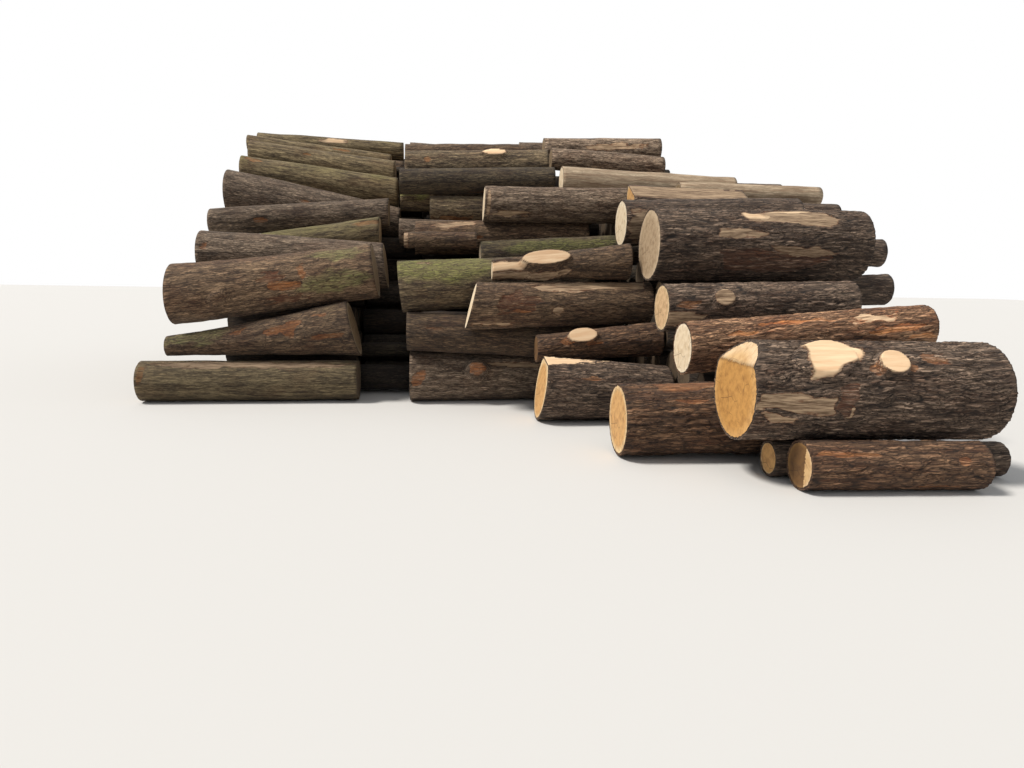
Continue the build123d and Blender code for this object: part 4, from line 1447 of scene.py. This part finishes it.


# How each log is dressed. A mark begins with metres from the log's left end and degrees round it.
# A tone over or under 1 is partly the log's own colour and partly painted light and shade.
LOOKS: dict[str, LogLook] = {
    "left_log_01": LogLook(
        Bark.SMOOTH, moss=0.10, tone=0.62, right_end=End.DARK,
        marks=(Patch(1.25, 63, 2.6, 0.17, wood=Wood.WORN), Patch(0.06, 30, 0.10, 0.3)),
    ),
    "left_log_02": LogLook(
        Bark.BROWN, moss=0.16, tone=0.88, sway=0.03, slant=(0, 14), left_end=End.PALE,
        marks=(
            Patch.shaped(
                Wood.RUSTY, (1.08, 18), (1.33, 33), (1.58, 50), (1.65, 36), (1.55, 12), (1.52, -16),
                (1.42, -5), (1.38, 12), (1.19, 4),
            ),
            Patch.shaped(Wood.RUSTY, (0.69, 22), (0.81, 41), (0.98, 48), (0.86, 25), (0.71, 14)),
            Patch(1.95, -8, 0.5, 0.07), Patch(1.9, 48, 0.35, 0.06), Moss(0.35, 40, 0.7, 0.25),
        ),
    ),
    "left_log_03": LogLook(
        Bark.BROWN, moss=0.14, tone=1.3, relief=0.010, sway=0.025, slant=(0, 8),
        marks=(
            Patch.shaped(
                Wood.RUSTY, (1.15, -1), (1.34, 2), (1.56, -2), (1.55, -17), (1.34, -20), (1.17, -14),
            ),
            Patch.shaped(Wood.RUSTY, (1.50, 26), (1.58, 34), (1.64, 6), (1.57, -4)),
            Patch(1.2, 12, 0.5, 0.12, wood=Wood.DARK), Patch(1.35, -38, 0.5, 0.14, wood=Wood.DARK),
            Moss(1.9, -12, 0.9, 0.30), Moss(2.0, 50, 0.7, 0.2),
        ),
        collars=(Collar(0.59, -20, 0.19, 0.17, 0.025, wood=None),),
    ),
    "left_log_04": LogLook(
        Bark.GREY, moss=0.10, slant=(0, 6), marks=(Patch(0.1, 15, 0.13, 0.10),),
    ),
    "left_log_05": LogLook(Bark.SMOOTH, moss=0.30, tone=0.78, marks=(Patch(1.9, 45, 0.6, 0.08),)),
    "left_log_06": LogLook(Bark.GREY, moss=0.10, tone=0.85, marks=(Patch(0.7, -5, 0.25, 0.08),)),
    "left_log_07": LogLook(
        Bark.GREY, moss=0.05, tone=0.92, sway=0.02, marks=(Patch(1.1, 10, 0.35, 0.07),),
    ),
    "left_log_08": LogLook(Bark.SMOOTH, moss=0.28, tone=0.95, marks=(Patch(0.2, 50, 0.3, 0.12),)),
    "left_log_09": LogLook(Bark.SMOOTH, moss=0.10, marks=(Patch(0.9, 30, 0.2, 0.04),)),
    "left_log_10": LogLook(Bark.SMOOTH, moss=0.15, tone=1.05, marks=(Patch(1.5, 45, 0.3, 0.06),)),
    "left_log_11": LogLook(
        Bark.SMOOTH, moss=0.20, tone=0.9, detail=Detail.UPPER,
        marks=(Patch(1.24, 42, 0.45, 0.16, wood=Wood.FRESH),),
    ),
    "middle_log_01": LogLook(
        Bark.GREY, moss=0.10, tone=0.95, left_end=End.DARK,
        marks=(
            Patch.shaped(
                Wood.RUSTY, (0.004, 1), (0.05, 14), (0.19, 27), (0.21, 12), (0.12, -18), (0.03, -22),
            ),
            Patch(1.24, 35, 0.75, 0.09, wood=Wood.WORN),
        ),
        collars=(Collar(0.80, 20, 0.21, 0.17, 0.11, wood=Wood.RUSTY),),
    ),
    "middle_log_02": LogLook(
        Bark.BROWN, moss=0.20, tone=0.62, relief=0.008, left_end=End.DARK,
        marks=(Patch(0.3, 20, 0.25, 0.06),),
    ),
    "middle_log_03": LogLook(
        Bark.MOSSY, moss=0.20, tone=0.95, slant=(-6, 0),
        marks=(Moss(0.55, 52, 1.25, 0.55), Patch(0.30, 62, 0.2, 0.07, wood=Wood.WORN)),
    ),
    "middle_log_04": LogLook(
        Bark.BROWN, Detail.NEAR, moss=0.04, tone=1.1, relief=0.010, slant=(14, 0), left_end=End.PALE,
        marks=(
            Patch.shaped(
                Wood.WORN, (0.70, 56), (1.07, 75), (1.80, 88), (2.12, 88), (2.07, 43), (1.75, 46),
                (1.28, 36), (0.85, 38),
            ),
            Patch(0.30, -52, 0.6, 0.10, wood=Wood.WORN), Patch(1.06, -13, 0.15, 0.11, wood=Wood.WORN),
            Patch(0.55, 8, 0.55, 0.30, wood=Wood.DARK), Patch(0.62, -15, 0.2, 0.05),
        ),
    ),
    "middle_log_05": LogLook(
        Bark.BROWN, Detail.NEAR, moss=0.03, tone=0.9, relief=0.012, left_end=End.PALE,
        marks=(
            Patch.shaped(
                Wood.FRESH, (-0.05, 54), (0.20, 46), (0.55, 26), (0.29, -6), (-0.05, -8),
            ),
            Patch.shaped(
                Wood.WORN, (-0.05, -7), (0.29, -8), (0.92, -18), (0.86, -48), (0.44, -64), (-0.05, -66),
            ),
        ),
        collars=(Collar(0.61, 35, 0.56, 0.20, 0.040),),
    ),
    "middle_log_06": LogLook(
        Bark.MOSSY, moss=0.25, tone=0.65, left_end=End.PALE, marks=(Moss(1.1, 30, 1.6, 0.25),),
    ),
    "middle_log_07": LogLook(
        Bark.BROWN, moss=0.04, tone=1.1, left_end=End.PALE,
        marks=(Patch(0.02, 20, 0.09, 0.5, wood=Wood.WORN),),
    ),
    "middle_log_08": LogLook(
        Bark.BROWN, moss=0.06, tone=1.15, left_end=End.PALE,
        marks=(
            Patch.shaped(
                Wood.WORN, (0.19, 42), (0.41, 58), (0.85, 70), (0.80, 47), (0.41, 28), depth=0.008,
            ),
            Patch(0.75, -5, 0.40, 0.08),
        ),
    ),
    "middle_log_09": LogLook(Bark.GREY, moss=0.10, left_end=End.PALE),
    "middle_log_10": LogLook(
        Bark.GREY, Detail.NEAR, moss=0.03, tone=1.2, relief=0.011, slant=(3, 0), left_end=End.PALE,
        marks=(Patch(0.3, -38, 0.7, 0.08, wood=Wood.WORN), Patch(0.05, 0, 0.06, 0.5, wood=Wood.WORN)),
    ),
    "middle_log_11": LogLook(
        Bark.MOSSY, moss=0.15, tone=1.2, left_end=End.PALE, marks=(Patch(0.35, -45, 0.6, 0.14),),
    ),
    # Painted light: the tone of 1.45 brightens a log that lies in shade under this sun.
    "middle_log_12": LogLook(Bark.MOSSY, moss=0.30, tone=1.45, marks=(Moss(0.2, 40, 0.5, 0.3),)),
    "middle_log_13": LogLook(
        Bark.MOSSY, moss=0.10, tone=0.55, marks=(Patch(1.25, -60, 0.5, 0.08),),
    ),
    "middle_log_14": LogLook(
        Bark.MOSSY, moss=0.10, tone=1.25, marks=(Patch(0.34, 18, 0.11, 0.10),),
        collars=(Collar(1.33, 45, 0.38, 0.14, 0.025),),
    ),
    "middle_log_15": LogLook(Bark.BROWN, Detail.UPPER, moss=0.10),
    "right_log_01": LogLook(
        Bark.RED_OAK, Detail.NEAR, moss=0.02, relief=0.012, sway=0.003, left_end=End.STAINED,
        # Painted light: the front part of the left end takes the paler later cut, for the lit facet of
        # this end.
        shaded_end=0.07,
        marks=(
            Patch(1.16, 26, 0.11, 0.10), Patch(0.25, 40, 0.5, 0.05), Patch(1.0, -48, 0.5, 0.03),
        ),
    ),
    "right_log_02": LogLook(
        Bark.OAK, moss=0.02, relief=0.010, left_end=End.FRESH, right_end=End.DARK,
    ),
    "right_butt_log": LogLook(
        Bark.OAK, Detail.BUTT, moss=0.02, tone=1.2, relief=0.020, sway=0.003, left_end=End.OCHRE,
        marks=(
            Patch.shaped(
                Wood.FRESH, (0.35, 71), (0.62, 84), (0.75, 80), (0.88, 62), (0.86, 51), (0.64, 31),
                (0.56, 21), (0.41, 23), (0.37, 36), (0.35, 50),
            ),
            Patch.shaped(
                Wood.WORN, (0.0, 6), (0.23, 5), (0.60, 1), (0.65, -19), (0.51, -21), (0.31, -16),
                (0.0, -12),
            ),
            Patch.shaped(Wood.WORN, (0.03, -16), (0.20, -17), (0.33, -24), (0.31, -32), (0.15, -30)),
            Patch(0.72, -16, 0.10, 0.09, wood=Wood.WORN), Patch(0.70, 0, 0.16, 0.22, wood=Wood.DARK),
            Patch(1.41, 48, 0.22, 0.12), Patch(0.93, 34, 0.16, 0.16), Patch(1.20, 38, 0.12, 0.10),
        ),
        collars=(
            Collar(0.53, 47, 0.50, 0.30, 0.025, wood=None), Collar(1.06, 40, 0.23, 0.20, 0.035),
        ),
        felling=FellingStep(hinge=0.215, lean=38),
    ),
    "right_log_03": LogLook(
        Bark.RED_OAK, Detail.NEAR, moss=0.02, relief=0.018, sway=0.02, tone=0.85, left_end=End.FRESH,
        marks=(
            Patch.shaped(
                Wood.RUSTY, (0.28, 95), (0.40, 99), (0.90, 99), (0.84, 72), (0.50, 60), (0.30, 64),
            ),
            Patch(0.55, 40, 0.35, 0.04),
        ),
    ),
    "right_log_04": LogLook(
        Bark.OAK, Detail.NEAR, moss=0.02, tone=1.08, relief=0.016, slant=(8, 0), left_end=End.FRESH,
        flat=FlatFace(82, 0.055, -0.030), marks=(Patch(0.55, 30, 0.35, 0.04),),
    ),
    "right_log_05": LogLook(
        Bark.RED_OAK, Detail.NEAR, moss=0.03, relief=0.012, tone=0.85, left_end=End.STAINED,
        marks=(Patch(0.36, 30, 0.30, 0.10), Patch(0.62, 12, 0.2, 0.05)),
        collars=(Collar(0.49, 40, 0.33, 0.19, 0.035),),
    ),
    "right_log_06": LogLook(
        # Painted light: the tone of 1.95 brightens the bark as if its top lay in the sun, where the log
        # above shades it.
        Bark.RED_OAK, Detail.NEAR, moss=0.02, relief=0.014, tone=1.95, left_end=End.PALE,
        marks=(
            Patch(1.97, 12, 0.60, 0.10), Patch(1.75, 45, 0.5, 0.12, wood=Wood.WORN),
            Patch(1.0, 50, 0.9, 0.05), Patch(0.5, 30, 0.4, 0.04), Patch(2.2, -10, 0.3, 0.06),
        ),
    ),
    "right_log_07": LogLook(
        Bark.OAK, Detail.NEAR, moss=0.02, tone=1.2, relief=0.013, left_end=End.TAN,
        marks=(
            Patch.shaped(
                Wood.WORN, (-0.05, -10), (0.20, -4), (0.40, -16), (0.39, -27), (0.08, -50), (-0.05, -49),
            ),
            Patch(0.2, 10, 0.3, 0.06),
        ),
        collars=(Collar(0.58, 22, 0.22, 0.18, 0.030, wood=Wood.WORN),),
    ),
    "right_log_08": LogLook(Bark.OAK, moss=0.20, tone=0.85),
    "right_log_09": LogLook(
        # Painted shade: the left end takes a finish darker than its pale wood, as it lies in shade.
        Bark.OAK, Detail.NEAR, moss=0.02, tone=0.98, relief=0.018, sway=0.015, left_end=End.PALE_IN_PAINTED_SHADE,
        marks=(
            Patch.shaped(
                Wood.DARK, (0.63, -8), (0.95, -9), (1.38, -13), (1.85, -17), (1.93, -25), (1.76, -37),
                (1.48, -52), (0.76, -47),
            ),
            Patch.shaped(Wood.WORN, (1.2, -2), (1.75, -6), (2.0, -16), (1.7, -22), (1.3, -12)),
            Patch.shaped(
                Wood.WORN, (0.93, 58), (1.32, 70), (1.66, 78), (1.93, 58), (2.04, 44), (1.88, 26),
                (1.41, 36), (1.0, 41),
            ),
            Patch.shaped(Wood.WORN, (0.63, 25), (0.98, 24), (1.25, 15), (0.98, 7), (0.65, 8)),
            Patch(1.09, 56, 0.30, 0.12, wood=Wood.FRESH), Patch(1.5, 66, 0.45, 0.05, wood=Wood.FRESH),
        ),
    ),
    "right_log_10": LogLook(Bark.OAK, Detail.UPPER, moss=0.02, right_end=End.FRESH),
    "right_log_11": LogLook(
        Bark.OAK, moss=0.02, tone=0.85, left_end=End.PALE,
        marks=(Patch(0.2, -10, 0.5, 0.5, wood=Wood.WORN),),
    ),
    "right_split_log": LogLook(
        Bark.OAK, moss=0.0, left_end=End.FRESH, right_end=End.OCHRE,
        flat=FlatFace(60, 0.170, 0.150, wood=Wood.WORN),
    ),
    "right_log_12": LogLook(Bark.OAK, Detail.UPPER, moss=0.02, right_end=End.FRESH),
    "right_log_13": LogLook(Bark.BARE, Detail.UPPER, moss=0.02, tone=0.95),
    "top_log_01": LogLook(Bark.BARE, moss=0.0, tone=0.92, left_end=End.PALE),
    "top_log_02": LogLook(Bark.BARE, moss=0.0, tone=1.3, left_end=End.PALE),
    "top_log_07": LogLook(Bark.GREY, Detail.UPPER, moss=0.02, tone=1.6),
    "top_log_08": LogLook(
        Bark.GREY, Detail.UPPER, moss=0.02, tone=1.7, marks=(Patch(1.2, 10, 1.2, 0.12, wood=Wood.WORN),),
    ),
}


def frame_points(node: bpy.types.Object) -> np.ndarray:
    """Reads the points of a frame node's mesh.

    Args:
        node: the frame's object.

    Returns:
        The points, shape (n, 3).
    """
    points = np.empty(len(node.data.vertices) * 3)
    node.data.vertices.foreach_get("co", points)
    return points.reshape(-1, 3)


def separate_shapes(node: bpy.types.Object) -> list[LogShape]:
    """Splits a node of several level logs into its log shapes, by which points its faces join.

    Points in the same place to 0.01 mm count as one. Each takes the lowest number among those that it
    shares an edge with, until nothing changes.

    Args:
        node: the frame's object.

    Returns:
        One shape per log.
    """
    mesh = node.data
    points = np.round(frame_points(node), 5)
    _, same = np.unique(points, axis=0, return_inverse=True)
    same = same.ravel()
    edges = np.empty(len(mesh.edges) * 2, np.int32)
    mesh.edges.foreach_get("vertices", edges)
    edges = same[edges.reshape(-1, 2)]
    label = np.arange(same.max() + 1)
    while True:
        low = np.minimum(label[edges[:, 0]], label[edges[:, 1]])
        new = label.copy()
        np.minimum.at(new, edges[:, 0], low)
        np.minimum.at(new, edges[:, 1], low)
        if np.array_equal(new, label):
            break
        label = new
    owner = label[same]
    return [LogShape.from_points(points[owner == group]) for group in np.unique(owner)]


@dataclass
class InnerStock:
    """The hidden logs inside the heap: rows of plain logs that fill the frame's core.

    Lengths are in metres. spacing is from one log's axis to the next, thick the range of diameters,
    skin the least room to the core's outline, shake how far an axis lies off its row, and ragged how
    far an end may stand back. A log is left out if its radius is under the share least of the
    thinnest diameter.
    """

    core: bpy.types.Object
    spacing: float = 0.40
    thick: tuple[float, float] = (0.33, 0.43)
    skin: float = 0.012
    shake: float = 0.02
    ragged: float = 0.08
    least: float = 0.25

    SEED = 11

    # A face is upright across X if its normal's X is more than this.
    UPRIGHT = 0.99

    def block_faces(self) -> list[float]:
        """Finds the places along X where the core's upright faces lie.

        Returns:
            The places, from left to right.
        """
        normals = np.empty(len(self.core.data.polygons) * 3)
        centres = np.empty_like(normals)
        self.core.data.polygons.foreach_get("normal", normals)
        self.core.data.polygons.foreach_get("center", centres)
        upright = np.abs(normals.reshape(-1, 3)[:, 0]) > self.UPRIGHT
        return sorted(set(np.round(centres.reshape(-1, 3)[upright, 0], 3)))

    def outline(self, x: float) -> np.ndarray:
        """The core's outline across the heap.

        Each triangle of the core that crosses the plane at x gives one segment, from its two crossed
        edges.

        Args:
            x: where the plane lies.

        Returns:
            The segments from (y, z) to (y, z), shape (n, 2, 2).
        """
        mesh = self.core.data
        mesh.calc_loop_triangles()
        corners = np.empty(len(mesh.loop_triangles) * 3, np.int32)
        mesh.loop_triangles.foreach_get("vertices", corners)
        triangles = frame_points(self.core)[corners.reshape(-1, 3)]
        side = triangles[:, :, 0] > x
        crossed = triangles[side.any(axis=1) & ~side.all(axis=1)]
        segments = []
        for start, end in ((0, 1), (1, 2), (2, 0)):
            a, b = crossed[:, start], crossed[:, end]
            share = (x - a[:, 0]) / np.where(b[:, 0] == a[:, 0], 1.0, b[:, 0] - a[:, 0])
            point = a[:, 1:] + (b[:, 1:] - a[:, 1:]) * share[:, None]
            hit = (a[:, 0] > x) != (b[:, 0] > x)
            segments.append(np.where(hit[:, None], point, np.nan))
        stack = np.stack(segments, axis=1)
        order = np.argsort(np.isnan(stack[:, :, 0]), axis=1, kind="stable")[:, :2]
        return np.take_along_axis(stack, order[:, :, None], axis=1)

    def shapes(self) -> list[LogShape]:
        """Fills each block of the core with level logs, row on row.

        Log axes lie on a lattice of staggered rows. Each is as thick as its range and the core's
        outline allow.

        Returns:
            One shape per log, block by block.
        """
        rng = np.random.default_rng(self.SEED)
        faces = self.block_faces()
        points = frame_points(self.core)
        low, high = points.min(axis=0), points.max(axis=0)
        rise = self.spacing * math.sin(math.radians(60))
        rows = np.arange(low[2] + self.spacing / 2, high[2], rise)
        columns = np.arange(low[1], high[1], self.spacing)
        z, y = np.meshgrid(rows, columns, indexing="ij")
        y = y + (np.arange(len(rows)) % 2)[:, None] * self.spacing / 2
        spots = np.stack([y.ravel(), z.ravel()], axis=1)
        shapes = []
        for left, right in zip(faces, faces[1:]):
            segments = self.outline((left + right) / 2)
            shaken = spots + rng.uniform(-self.shake, self.shake, spots.shape)
            room = inside_distance(shaken, segments) - self.skin
            radii = np.minimum(rng.uniform(*self.thick, len(spots)) / 2, np.maximum(room, 0))
            for (spot_y, spot_z), radius in zip(shaken, radii):
                if radius > self.thick[0] * self.least:
                    back = rng.uniform(0.0, self.ragged, 2)
                    centre = (float(spot_y), float(spot_z))
                    ends = (left + back[0], right - back[1])
                    shapes.append(LogShape(*ends, centre, centre, radius, radius))
        return shapes


class Heap:
    """The whole heap: its visible logs, its back rows and the logs inside it."""

    CORE = "hidden_core"
    BACK = "back_logs"
    SEED = 5

    def __init__(self, frame: dict) -> None:
        """Keeps the frame's nodes by name, with an empty shelf of finishes and one random source.
        """
        self.nodes = sorted(frame["nodes"].items())
        self.core = frame["nodes"][self.CORE]
        self.shelf = MaterialShelf()
        self.rng = np.random.default_rng(self.SEED)

    def build_front(self) -> None:
        """Dresses every single log of the frame."""
        plain = LogLook(Bark.GREY, Detail.UPPER, moss=0.12, left_end=End.PALE, right_end=End.PALE)
        for name, node in self.nodes:
            if name == self.CORE or name.endswith(self.BACK):
                continue
            look = LOOKS.get(name, plain)
            piece = LogBuilder(name, LogShape.from_points(frame_points(node)), look, self.shelf).build()
            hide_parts(name)
            log_out.info("%s: %d faces", piece.name, len(piece.data.polygons))

    def build_back(self) -> None:
        """Dresses the plain logs of the back rows, one piece per log."""
        barks = (Bark.GREY, Bark.BROWN, Bark.MOSSY, Bark.SMOOTH)
        for name, node in self.nodes:
            if not name.endswith(self.BACK):
                continue
            shapes = separate_shapes(node)
            for number, shape in enumerate(shapes, start=1):
                bark = barks[self.rng.integers(len(barks))]
                look = LogLook(bark, Detail.UPPER, moss=0.2, tone=self.rng.uniform(0.85, 1.1))
                piece = LogBuilder(f"{name}_{number}", shape, look, self.shelf).build()
                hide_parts(name)
            log_out.info("%s: %d logs", name, len(shapes))

    def build_inside(self) -> None:
        """Fills the core with plain logs, joined into one piece for each of its blocks."""
        barks = (Bark.GREY, Bark.BROWN, Bark.MOSSY)
        stock = InnerStock(self.core)
        faces = stock.block_faces()
        blocks: dict[int, list[bpy.types.Object]] = {}
        for number, shape in enumerate(stock.shapes()):
            # Painted shade: the inner logs are darkened to a tone of 0.18 to 0.36, with dark ends, for
            # the shade between the logs inside the heap.
            look = LogLook(
                barks[self.rng.integers(len(barks))], Detail.HIDDEN, moss=0.1,
                tone=self.rng.uniform(0.18, 0.36), left_end=End.DARK, right_end=End.DARK,
            )
            piece = LogBuilder(f"inner_{number}", shape, look, self.shelf).build()
            block = int(np.searchsorted(faces, (shape.left + shape.right) / 2))
            blocks.setdefault(block, []).append(piece)
        for block, pieces in blocks.items():
            joined = join(pieces, f"inner_logs_{block}")
            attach(joined, BODY)
            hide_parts(self.CORE)
            log_out.info("%s: %d logs", joined.name, len(pieces))


def join(pieces: list[bpy.types.Object], name: str) -> bpy.types.Object:
    """Joins several pieces into one and names it.

    Args:
        pieces: the pieces, of which the first stays.
        name: its new name.

    Returns:
        The joined piece.
    """
    joined = pieces[0]
    with bpy.context.temp_override(
        active_object=joined, object=joined, selected_objects=pieces, selected_editable_objects=pieces
    ):
        bpy.ops.object.join()
    joined.name = name
    joined.data.name = name
    return joined


@dataclass
class Studio:
    """The pale floor, the soft lights and the camera.

    Lengths without a unit are in metres. sight is how far the camera sees, and floor_half is half the
    floor's side. sun_travel is the way the sun's light goes.
    """

    camera_place: tuple[float, float, float] = (-1.015, -9.523, 1.532)
    yaw_deg: float = 6.3
    pitch_deg: float = 9.0
    roll_deg: float = -0.97
    lens_mm: float = 23.8
    sensor_mm: float = 36.0
    sight: float = 200.0
    floor_half: float = 60.0
    floor_colour: str = "cfcdca"
    floor_roughness: float = 0.9
    sky_colour: tuple[float, float, float, float] = (0.92, 0.96, 1.0, 1.0)
    sky_strength: float = 0.52
    sun_colour: tuple[float, float, float] = (1.0, 0.96, 0.90)
    sun_strength: float = 3.5
    sun_width_deg: float = 14.0
    sun_travel: tuple[float, float, float] = (0.66, 0.08, -0.98)

    def camera(self) -> bpy.types.Object:
        """Places the camera where the photo was taken from, level with the viewer's eyes.

        Returns:
            The camera, which the scene uses.
        """
        yaw, pitch, roll = (math.radians(a) for a in (self.yaw_deg, self.pitch_deg, self.roll_deg))
        forward = Vector(
            (math.sin(yaw) * math.cos(pitch), math.cos(yaw) * math.cos(pitch), -math.sin(pitch))
        )
        right = Vector((math.cos(yaw), -math.sin(yaw), 0.0))
        down = forward.cross(right)
        rolled_right = right * math.cos(roll) + down * math.sin(roll)
        rolled_down = down * math.cos(roll) - right * math.sin(roll)
        data = bpy.data.cameras.new("camera")
        data.lens = self.lens_mm
        data.sensor_width = self.sensor_mm
        data.clip_end = self.sight
        camera = bpy.data.objects.new("camera", data)
        bpy.context.scene.collection.objects.link(camera)
        turn = Matrix((rolled_right, -rolled_down, -forward)).transposed()
        camera.matrix_world = Matrix.Translation(Vector(self.camera_place)) @ turn.to_4x4()
        bpy.context.scene.camera = camera
        return camera

    def floor(self) -> bpy.types.Object:
        """Lays a wide level floor of pale matt concrete.

        Returns:
            The floor, which is staging and no part of the heap.
        """
        half = self.floor_half
        mesh = bpy.data.meshes.new("floor")
        mesh.from_pydata(
            [(-half, -half, 0), (half, -half, 0), (half, half, 0), (-half, half, 0)], [], [(0, 1, 2, 3)]
        )
        floor = bpy.data.objects.new("floor", mesh)
        bpy.context.scene.collection.objects.link(floor)
        material = bpy.data.materials.new("pale_floor")
        material.use_nodes = True
        shader = material.node_tree.nodes["Principled BSDF"]
        shader.inputs["Base Color"].default_value = linear(self.floor_colour)
        shader.inputs["Roughness"].default_value = self.floor_roughness
        mesh.materials.append(material)
        return floor

    def lights(self) -> None:
        """A white backdrop, an even sky and one soft sun high on the left, as under thin cloud."""
        world = bpy.data.worlds.new("sky")
        world.use_nodes = True
        world.node_tree.nodes.clear()
        add = partial(add_node, world.node_tree)
        seen = add("LightPath", out="Is Camera Ray")
        rays = seen.node.outputs
        for name in ("Is Glossy Ray", "Is Transmission Ray"):
            seen = add("Math", {0: seen, 1: rays[name]}, operation="MAXIMUM")
        fill = add("Background", {"Color": self.sky_colour, "Strength": self.sky_strength})
        backdrop = add("Background", {"Color": (1.0, 1.0, 1.0, 1.0), "Strength": 1.0})
        mixed = add("MixShader", {0: seen, 1: fill, 2: backdrop})
        add("OutputWorld", {"Surface": mixed})
        bpy.context.scene.world = world
        data = bpy.data.lights.new("soft_sun", "SUN")
        data.energy = self.sun_strength
        data.angle = math.radians(self.sun_width_deg)
        data.color = self.sun_colour
        sun = bpy.data.objects.new("soft_sun", data)
        bpy.context.scene.collection.objects.link(sun)
        sun.rotation_euler = Vector(self.sun_travel).to_track_quat("-Z", "Y").to_euler()


def main() -> None:
    """Loads the frame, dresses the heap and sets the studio."""
    logging.basicConfig(level=logging.INFO, format="%(name)s: %(message)s")
    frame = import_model()
    bpy.context.scene.view_settings.view_transform = "Standard"
    heap = Heap(frame)
    heap.build_front()
    heap.build_back()
    heap.build_inside()
    studio = Studio()
    studio.floor()
    studio.lights()
    studio.camera()


if __name__ == "__main__":
    main()
